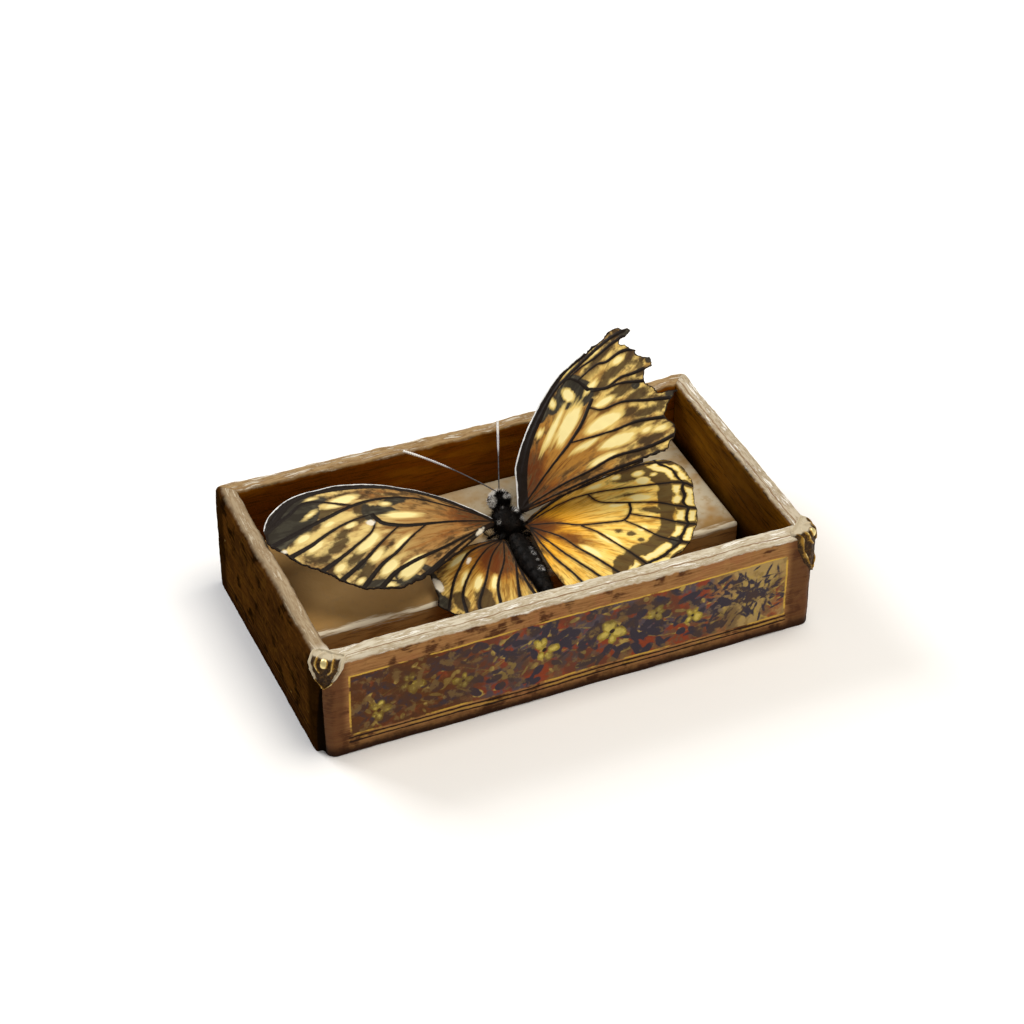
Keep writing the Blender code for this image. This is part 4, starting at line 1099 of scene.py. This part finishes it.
def make_wing(name):
    wing = WINGS[name]
    outline = smooth_outline(wing)
    flat, triangles = fill(outline)
    u, w = flat.T
    margin, _ = line_distance(flat, outline, True)
    gap, ink = np.full(len(flat), 9.0), np.full(len(flat), 9.0)
    for number, vein in enumerate(wing["veins"]):
        distance, share = line_distance(flat, curve_through(vein))
        gap = np.minimum(gap, distance)
        wide = wing["vein"][0] + wing["vein"][1] * share ** 1.3
        if number == 0:
            wide = np.interp(share, (0, 0.45, 0.7, 1), wing["costa_dark"])
        ink = np.minimum(ink, distance - wide)
    # the distance to the front edge, up to where it frays, which the finish paints with a highlight
    start = np.argmin(np.linalg.norm(outline - wing["outline"][wing["frayed"][0]], axis=1))
    rim, _ = line_distance(flat, outline[:start])
    solid = np.column_stack([flat, np.zeros(len(flat))])
    ridge = np.exp(-(gap / 0.22) ** 2)
    sag = PLEAT * (1 - np.exp(-(gap / 1.1) ** 2)) * ease(margin, 0, 1.5)
    curl = CURL * (1 - ease(margin, 0, 2.0)) * lumps(solid, 3.5, 61) * ease(u, 8, 20)
    middle = -sag + curl + 0.05 * lumps(solid, 1.2, 63)
    thick = MEMBRANE / 2 + VEIN_HEIGHT * ridge
    marks = {key: nearest(u, w, wing.get(key, ())) for key in MARKINGS}
    if "rows" in wing:
        # two rows of pale moons between the veins, a fine dark line and a brown band
        first, last = wing["rows"]
        outer, _ = line_distance(flat, curve_through(wing["outline"][first:last]))
        outer = outer + 0.35 * lumps(solid, 2.2, 65)
        broken = 0.9 * np.maximum(lumps(solid, 1.7, 69), 0)
        for place, half in ((1.2, 0.75), (3.7, 0.85)):
            moon = np.maximum(np.abs(outer - place) - half, 0.8 - gap)
            marks["pale"] = np.minimum(marks["pale"], moon + broken)
        ink = np.minimum(ink, np.abs(outer - 2.4 + 0.5 * np.exp(-gap ** 2)) - 0.32)
        band = np.abs(outer - 6.3) - 1.9 + 0.7 * lumps(solid, 2.6, 67)
        band = np.minimum(band, np.abs(outer - 2.4) - 2.2)
        marks["brown"] = np.minimum(marks["brown"], band)
    # the ray is an angle from the root, scaled so that the streaks along it come out fine
    fields = {"vein": ink, "gap": gap, "margin": margin, "rim": rim, **marks,
              "reach": np.hypot(u, w), "ray": np.arctan2(w, u) * 20}
    points = np.concatenate([place_wing(wing, u, w, middle + thick),
                             place_wing(wing, u, w, middle - thick)])
    number = len(flat)
    directed = {(a, b) for tri in triangles for a, b in zip(tri, tri[1:] + tri[:1])}
    sides = [(b, a, a + number, b + number) for a, b in directed if (b, a) not in directed]
    faces = triangles + [tuple(i + number for i in tri[::-1]) for tri in triangles] + sides
    a, b, c = (flat[i] for i in triangles[0])
    upright = (b[0] - a[0]) * (c[1] - a[1]) - (b[1] - a[1]) * (c[0] - a[0]) > 0
    if upright != (wing["side"] > 0):
        faces = [face[::-1] for face in faces]
    fields = {field: np.concatenate([values, values]) for field, values in fields.items()}
    return make_piece(name + "_scaled", keep_in_box(points), faces, fields)


wings = {name: make_wing(name) for name in WINGS}
print({name: len(piece.data.polygons) for name, piece in wings.items()})

# %% [markdown]
# ## Wing scales
# The colour of a wing is dust-like scales, in rows like roof tiles, about a tenth of a millimetre
# each, which is finer than the picture shows, so the rows are drawn at a third of a millimetre.
# From the root outwards the ground goes from burnt orange to gold to cream, streaked along the
# rays between the veins, smoked with brown towards the edge, and crossed by black-brown veins.

# %% Wing finish
def scale_dust(name, wing):
    finish, tree, shader = new_finish(name, IOR=1.5, Specular_IOR_Level=0.12)
    dark, pale, warm, brown, white = from_mesh(tree, *MARKINGS)
    vein, gap, margin, rim, reach, ray = from_mesh(tree, "vein", "gap", "margin", "rim", "reach",
                                                   "ray")
    rays = node(tree, "ShaderNodeCombineXYZ", {"X": reach, "Y": ray}).outputs[0]
    streak = grain(tree, 0.7, rays, (9, 1, 1), detail=4)
    streak_wide = grain(tree, 1.8, rays, (4, 1, 1))
    small, dust = grain(tree, 1.1, detail=5), grain(tree, 0.3)
    blots = grain(tree, 1.6, shift=8, detail=5)
    rows = grain(tree, 0.34, rays, (0.5, 1.6, 1), detail=1)
    (orange, gold), (root, middle, ground) = wing["tone"], wing["inks"]
    smoke = worn(margin, wing["smoke"] * 0.45, wing["smoke"] * 0.45, wing["smoke"], streak_wide)
    patches = grain(tree, 1.3, rays, (2.4, 1, 1), shift=5)
    outer_part = worn(reach, gold - 4, 6.0, over=True)
    clear = worn(gap, 0.42, 0.2, 0.5, blots, over=True)
    colour = paint(ground, [
        (worn(streak_wide, 0.48, 0.1, most=0.6), middle),
        (worn(reach, gold, 6.0, 14.0, streak), middle),
        (worn(streak, 0.43, 0.06, most=0.5), root),
        (worn(reach, orange, 5.0, 13.0, streak), root),
        (worn(warm, 0.2, 1.2, 2.6, streak, 0.5), "A8601C"),
        (worn(warm, -0.5, 1.2, 2.2, small, 0.85), "58260C"),
        (both(outer_part, worn(gap, 0.4, 0.6, 1.2, blots, 0.75)), "6E5230"),
        (worn(gap, 0.35, 0.45, 1.4, streak, 0.7), "604020"),
        (worn(streak_wide, 0.41, 0.06, 0.1, small, wing["shade"]), "6A4822"),
        (worn(reach, 4.5, 4.0, 7.0, streak, 0.8), "42220C"),
        (both(smoke, worn(patches, 0.52, 0.08, 0.1, small, 0.75)), "705634"),
        (both(smoke, worn(patches, 0.45, 0.05, 0.1, small, 0.9)), "3A2A18"),
        (worn(brown, 0.0, 0.35, 1.6, blots, 0.92), "43321E"),
        (worn(dark, 0.1, 0.2, 0.8, small), "3A342A"),
        (both(worn(dark, -0.3, 0.3, 0.4, small), worn(streak, 0.46, 0.06, most=0.6)), "5C5848"),
        (worn(dark, -0.8, 0.4, 0.6, streak_wide, 0.6), "25211A"),
        (both(clear, worn(pale, 0.05, 0.25, 1.3, streak, 0.9)), ground),
        (both(clear, worn(pale, -0.25, 0.16, 1.0, streak, 0.9)), "F8E8A4"),
        (worn(vein, 0.0, 0.08, 0.28, small), "1A110A"),
        (worn(margin, wing["border"] * 0.35, 0.12, wing["border"] * 0.8, small), "1E150E"),
        (worn(white, 0.0, 0.2, 0.9, small, 0.95), "E8E0CC"),
        # painted highlight: a near-white line along the wing's front edge
        (worn(rim, wing["edge"], 0.1, 0.6, blots, 0.95), "F0F0EE"),
    ])
    connect(shader, Base_Color=colour,
            Roughness=dull(0.68, [(dust, 0.8), (worn(vein, 0.0, 0.1), 0.5)]),
            Normal=emboss([(rows, 0.03), (streak, 0.05), (dust, 0.02)]))
    return finish


for name, piece in wings.items():
    put_in_place(piece, scale_dust(name + "_scale_dust", WINGS[name]), "wing_scales", name)

# %% [markdown]
# ## Body
# Head, thorax and abdomen are dry black shell under short black fur. Each is a tube with a
# radius at every place along its path, which also makes the legs and the eyes. Rings, pits and
# dents come from noise and from a wave along the abdomen.

# %% Tubes, eggs and the body's three parts
def tube(path, radii, sides, tall=1.0):
    """A closed tube through a path, with a radius at each place; tall stretches it upwards."""
    path, radii = np.asarray(path, dtype=float), np.asarray(radii, dtype=float)
    ahead = np.gradient(path, axis=0)
    ahead /= np.linalg.norm(ahead, axis=1, keepdims=True)
    upward = (0, 0, 1) if abs(ahead[:, 2]).mean() < 0.9 else (0, 1, 0)
    across = np.cross(ahead, upward)
    across /= np.linalg.norm(across, axis=1, keepdims=True)
    over = np.cross(across, ahead)
    angles = np.linspace(0, 2 * math.pi, sides, endpoint=False)
    ring = (np.cos(angles)[None, :, None] * across[:, None, :]
            + tall * np.sin(angles)[None, :, None] * over[:, None, :])
    points = (path[:, None, :] + radii[:, None, None] * ring).reshape(-1, 3)
    faces = []
    for i in range(len(path) - 1):
        for j in range(sides):
            a, b = i * sides + j, i * sides + (j + 1) % sides
            faces.append((a, a + sides, b + sides, b))
    faces.append(tuple(range(sides)))
    faces.append(tuple(reversed(range((len(path) - 1) * sides, len(path) * sides))))
    return points, faces


def egg(middle, radii, rows=36, sides=40):
    """An egg as a tube along y."""
    bend = np.linspace(0.02, math.pi - 0.02, rows)
    path = np.array(middle) + np.outer(-np.cos(bend) * radii[1], (0, 1, 0))
    return tube(path, np.sin(bend) * radii[0], sides, radii[2] / radii[0])


def settle(points):
    """Move points in mm to where the tray is set."""
    return points + (0, SET_BACK, 0)


head_points, head_faces = egg((2.9, 13.6, 16.9), (2.15, 1.85, 1.95))
head_points += 0.14 * push(head_points, 0.9, 71)
head = make_piece("head_shell", settle(head_points), head_faces)

legs = []
for side in (-1, 1):
    for index, root_y in enumerate((9.0, 7.0, 5.0)):
        joints = [(1.9 + side * out, root_y + (1 - index) * lean, height)
                  for out, lean, height in zip((1.5, 3.3, 4.6, 3.9), (0.0, 0.8, 0.2, -1.2),
                                               (14.1, 13.4, 13.1, 12.65))]
        route = curve_through(joints, 7)
        girth = np.interp(np.linspace(0, 1, len(route)), (0, 0.3, 0.36, 0.7, 1),
                          (0.30, 0.26, 0.19, 0.17, 0.10))
        legs.append(tube(route, girth, 8))
# short dark stalks carry the wings, from inside the thorax to where each wing begins
stalks = [tube([(1.0, 7.2, 16.4), (-1.0, 7.1, 16.8), (-2.2, 7.0, 17.1)], (0.9, 0.75, 0.35), 14, 0.7),
          tube([(3.0, 7.2, 16.4), (4.6, 7.3, 17.2), (6.0, 7.8, 18.2)], (1.0, 0.8, 0.4), 14, 0.8),
          tube([(1.0, 5.0, 15.6), (-0.6, 3.6, 15.4), (-1.8, 2.6, 15.2)], (0.9, 0.7, 0.35), 14, 0.7),
          tube([(3.0, 5.2, 15.8), (4.4, 5.0, 15.8), (6.2, 4.8, 15.9)], (0.9, 0.75, 0.4), 14, 0.7)]
thorax_points, thorax_faces = egg((1.9, 7.2, 16.0), (3.1, 3.95, 2.9), 48, 48)
thorax_points += 0.16 * push(thorax_points, 1.2, 74)
thorax_points, thorax_faces = join_shells([(thorax_points, thorax_faces)] + legs + stalks)
thorax = make_piece("thorax_shell_and_legs", settle(thorax_points), thorax_faces)

RINGS, RING_RADII = 8, (1.3, 2.1, 2.4, 2.45, 2.35, 2.15, 1.85, 1.5, 0.9)
share = np.linspace(0, 1, 120)
path = np.linspace((1.75, 2.9, 15.3), (1.2, -18.4, 14.2), len(share))
girth = np.interp(share * RINGS, range(RINGS + 1), RING_RADII)
girth = girth - 0.16 * np.abs(np.cos(share * RINGS * math.pi)) ** 6
girth = girth * np.sqrt(np.clip(1 - np.maximum(0, (share - 0.93) / 0.075) ** 2, 0.01, 1))
girth = girth * np.sqrt(np.clip(share / 0.02, 0.05, 1))
abdomen_points, abdomen_faces = tube(path, girth, 36, 0.95)
abdomen_points += 0.06 * push(abdomen_points, 0.8, 77)
abdomen = make_piece("abdomen_ringed", settle(abdomen_points), abdomen_faces)
eye_shells = [egg((2.9 + side * 1.6, 14.05, 17.2), (1.12, 1.12, 1.2), 24, 24) for side in (-1, 1)]
eye_points, eye_faces = join_shells(eye_shells)
eyes = make_piece("eyes", settle(eye_points), eye_faces)
print("body parts made")

# %% [markdown]
# ## Fur
# Fur repeats one hair thousands of times over a surface, which is what Geometry Nodes are for:
# points are scattered on the skin, a thin three-sided cone stands on each, leaning back a
# little, and the copies are made real so that they export as a mesh. The antennae share the two
# functions that start such a tree and end it.

# %% A tree that grows hair
def start_tree(name, inputs):
    """A Geometry Nodes tree with its inputs, each a name and a kind, and what they give."""
    tree = bpy.data.node_groups.new(name, "GeometryNodeTree")
    for socket, kind in [("Geometry", "Geometry"), *inputs, ("Finish", "Material")]:
        tree.interface.new_socket(name=socket, in_out="INPUT", socket_type="NodeSocket" + kind)
    tree.interface.new_socket(name="Geometry", in_out="OUTPUT", socket_type="NodeSocketGeometry")
    return tree, node(tree, "NodeGroupInput").outputs


def stand_copies(tree, points, shape, heading, size, finish):
    """Stand a copy of a shape on every point, along a heading, and make the copies real."""
    turned = node(tree, "FunctionNodeAlignRotationToVector", {"Vector": heading}, axis="Z")
    copies = node(tree, "GeometryNodeInstanceOnPoints",
                  {"Points": points, "Instance": shape.outputs["Mesh"],
                   "Rotation": turned.outputs[0], "Scale": size})
    real = node(tree, "GeometryNodeRealizeInstances", {"Geometry": copies.outputs[0]})
    coated = node(tree, "GeometryNodeSetMaterial", {"Geometry": real.outputs[0],
                                                    "Material": finish})
    node(tree, "NodeGroupOutput", {"Geometry": coated.outputs[0]})
    return tree


def fur_tree():
    tree, given = start_tree("short fur", [("Hairs per m2", "Float"), ("Length", "Float"),
                                           ("Thickness", "Float"), ("Lean", "Vector"),
                                           ("Seed", "Int")])
    scattered = node(tree, "GeometryNodeDistributePointsOnFaces",
                     {"Mesh": given["Geometry"], "Density": given["Hairs per m2"],
                      "Seed": given["Seed"]})
    leaning = scattered.outputs["Normal"]
    tousle = node(tree, "FunctionNodeRandomValue", {0: (-0.5, -0.5, -0.5), 1: (0.5, 0.5, 0.5),
                                                    "Seed": given["Seed"]},
                  data_type="FLOAT_VECTOR")
    for bend in (given["Lean"], tousle.outputs[0]):
        leaning = node(tree, "ShaderNodeVectorMath", {0: leaning, 1: bend},
                       operation="ADD").outputs[0]
    hair = node(tree, "GeometryNodeMeshCone",
                {"Vertices": 3, "Side Segments": 1, "Radius Top": 0.0,
                 "Radius Bottom": given["Thickness"], "Depth": given["Length"]})
    size = node(tree, "FunctionNodeRandomValue", {2: 0.5, 3: 1.15, "Seed": given["Seed"]},
                data_type="FLOAT")
    return stand_copies(tree, scattered.outputs["Points"], hair, leaning, size.outputs[1],
                        given["Finish"])


def grow(name, host, tree, settings):
    """Run a tree on an object and keep what it makes as a plain mesh."""
    modifier = host.modifiers.new("grow", "NODES")
    modifier.node_group = tree
    for item in tree.interface.items_tree:
        if item.in_out == "INPUT" and item.name in settings:
            modifier[item.identifier] = settings[item.name]
    bpy.context.view_layer.update()
    depsgraph = bpy.context.evaluated_depsgraph_get()
    mesh = bpy.data.meshes.new_from_object(host.evaluated_get(depsgraph), depsgraph=depsgraph,
                                           preserve_all_data_layers=True)
    host.modifiers.remove(modifier)
    return add_object(name, mesh)


def mark_tufts_and_glints(piece, spots):
    """Mark hairs that lie near a few pale tufts and painted glints, each a place and a radius in mm."""
    places = np.empty(len(piece.data.vertices) * 3)
    piece.data.vertices.foreach_get("co", places)
    places = places.reshape(-1, 3) / MM - (0, SET_BACK, 0)
    pale = np.full(len(places), 9.0)
    for x, y, z, radius in spots:
        pale = np.minimum(pale, np.linalg.norm(places - (x, y, z), axis=1) - radius)
    carry(piece.data, {"tuft_and_painted_glint": pale})


growing = fur_tree()
print(len(growing.nodes), "nodes in the fur tree")

# %% Fur, shell and eye finishes, and the fur itself
# Insect shell is chitin, a hard dark natural plastic: black-brown with a tight soft gloss.
chitin, tree, shader = new_finish("black_chitin", IOR=1.56, Specular_IOR_Level=0.08)
pits = grain(tree, 0.35, detail=4)
connect(shader, Base_Color=paint("0E0B09", [(worn(grain(tree, 1.5), 0.44, 0.08), "1E1712")]),
        Roughness=dull(0.45, [(pits, 0.7)]), Normal=emboss([(pits, 0.06)]))
# Fur is dry hair: no gloss to speak of. Near the tufts it is painted pale, partly the insect's white
# spots and partly painted glints.
fur, tree, shader = new_finish("dry_black_fur", IOR=1.5, Specular_IOR_Level=0.03)
tuft_and_painted_glint = worn(from_mesh(tree, "tuft_and_painted_glint")[0], 0.0, 0.25, 0.5, grain(tree, 0.5))
colour = paint("080605", [(worn(grain(tree, 0.8), 0.42, 0.1), "120E0A"), (tuft_and_painted_glint, "F0EEEA")])
connect(shader, Base_Color=colour, Roughness=dull(0.55, [(tuft_and_painted_glint, 0.8)]))
for name, piece in (("head", head), ("thorax", thorax), ("abdomen", abdomen)):
    put_in_place(piece, chitin, "body_fur", name)

# the pale tufts are partly the insect's white spots and partly painted glints
COATS = {   # host, hairs per square mm, length, thickness in mm, lean, pale tufts
    "head_fur": (head, 40, 1.0, 0.07, (0.0, 0.1, 0.35),
                 [(0.7, 13.2, 17.6, 1.5), (1.2, 14.9, 18.2, 1.5), (2.6, 15.6, 18.4, 1.4),
                  (4.2, 15.0, 18.0, 1.3), (3.9, 12.2, 19.0, 0.8), (4.9, 13.0, 18.0, 0.7)]),
    "thorax_fur": (thorax, 16, 1.15, 0.05, (0.0, -0.6, 0.1),
                   [(4.2, 7.4, 18.9, 1.0), (5.0, 5.2, 17.6, 0.8), (-0.8, 5.6, 18.0, 0.8),
                    (1.4, 8.6, 19.4, 0.6)]),
    "abdomen_fur": (abdomen, 16, 0.62, 0.045, (0.0, -0.9, 0.0),
                    [(2.4, -4.6, 17.3, 0.5), (2.3, -6.2, 17.2, 0.7), (2.4, -8.2, 17.1, 0.6),
                     (2.1, -11.0, 16.8, 1.0)]),
}
for seed, (name, (host, density, length, thickness, lean, tufts_and_painted_glints)) in enumerate(COATS.items(), 3):
    coat = grow(name, host, growing, {"Hairs per m2": density * 1e6, "Length": length * MM,
                                      "Thickness": thickness * MM, "Lean": lean, "Seed": seed,
                                      "Finish": fur})
    mark_tufts_and_glints(coat, tufts_and_painted_glints)
    put_in_place(coat, None, "body_fur")

FACET = 0.16     # mm across one lens of an eye, drawn coarser than a real one
glass, tree, shader = new_finish("dark_eye_shell", IOR=1.56, Coat_Weight=0.6)
place = node(tree, "ShaderNodeTexCoord").outputs["Object"]
facets = node(tree, "ShaderNodeTexVoronoi", {"Scale": 1 / (FACET * MM), "Vector": place})
facets = facets.outputs["Distance"]
connect(shader, Base_Color=paint("0A0706", [(worn(facets, 0.3, 0.2), "2C1D12")]),
        Roughness=dull(0.2, [(facets, 0.35)]), Normal=emboss([(facets, 0.02)]))
put_in_place(eyes, glass, "antenna_chitin")

# %% [markdown]
# ## Antennae
# An antenna is a row of tiny barrels, one for each joint, that thicken into a club at the end.
# The path carries a thickness at every point; a tree puts a barrel on each of its steps, turned
# along the path and scaled to that thickness.

# %% A tree that strings barrels along a path
def barrel_tree():
    tree, given = start_tree("antenna joints", [("Joints", "Int"), ("Joint Length", "Float")])
    path = node(tree, "GeometryNodeMeshToCurve", {"Mesh": given["Geometry"]})
    steps = node(tree, "GeometryNodeResampleCurve", {"Curve": path.outputs[0],
                                                     "Count": given["Joints"]})
    heading = node(tree, "GeometryNodeInputTangent")
    girth = node(tree, "GeometryNodeInputNamedAttribute", {"Name": "girth"}, data_type="FLOAT")
    size = node(tree, "ShaderNodeCombineXYZ", {"X": girth.outputs[0], "Y": girth.outputs[0],
                                               "Z": given["Joint Length"]})
    barrel = node(tree, "GeometryNodeMeshUVSphere", {"Segments": 10, "Rings": 6, "Radius": 1.0})
    return stand_copies(tree, steps.outputs[0], barrel, heading.outputs[0], size.outputs[0],
                        given["Finish"])


strung = barrel_tree()
print(len(strung.nodes), "nodes in the antenna tree")

# %% The two antennae
ANTENNAE = {"antenna_left": ((2.2, 15.0, 19.0), (-14.0, 26.5, 26.4)),
            "antenna_right": ((3.5, 15.3, 19.1), (8.0, 26.6, 28.0))}
JOINTS, STEPS = 46, 60
horn, tree, shader = new_finish("antenna_chitin", IOR=1.56)
outward, = from_mesh(tree, "share")
# painted highlight: the outer half of each antenna is painted pale, and its tip near white
colour = paint("4A4A50", [
    (worn(grain(tree, 0.6), 0.45, 0.1), "1E1A18"),
    (worn(outward, 0.5, 0.06, 0.2, grain(tree, 1.2), over=True), "C9C8CC"),
    (worn(outward, 0.78, 0.04, over=True), "ECEAE6"),
])
connect(shader, Base_Color=colour, Roughness=dull(0.45, [(grain(tree, 0.3), 0.6)]))
share = np.linspace(0, 1, STEPS)
for name, (base, tip) in ANTENNAE.items():
    path = np.linspace(base, tip, STEPS)
    path[:, 2] += 0.8 * 4 * share * (1 - share)
    club = np.sin(np.clip((share - 0.82) / 0.18, 0, 1) * 0.8 * math.pi)
    girth = (0.16 + 0.13 * ease(share, 0.4, 0.7) + 0.05 * club) * MM
    host = add_object(name + "_path", bpy.data.meshes.new(name + "_path"))
    host.data.from_pydata((settle(path) * MM).tolist(), [(i, i + 1) for i in range(STEPS - 1)], [])
    carry(host.data, {"girth": girth, "share": share})
    length = float(np.linalg.norm(path[-1] - path[0]))
    piece = grow(name + "_jointed", host, strung,
                 {"Joints": JOINTS, "Joint Length": 0.64 * length / JOINTS * MM, "Finish": horn})
    bpy.data.objects.remove(host)
    piece.data.shade_smooth()
    put_in_place(piece, None, "antenna_chitin", name)
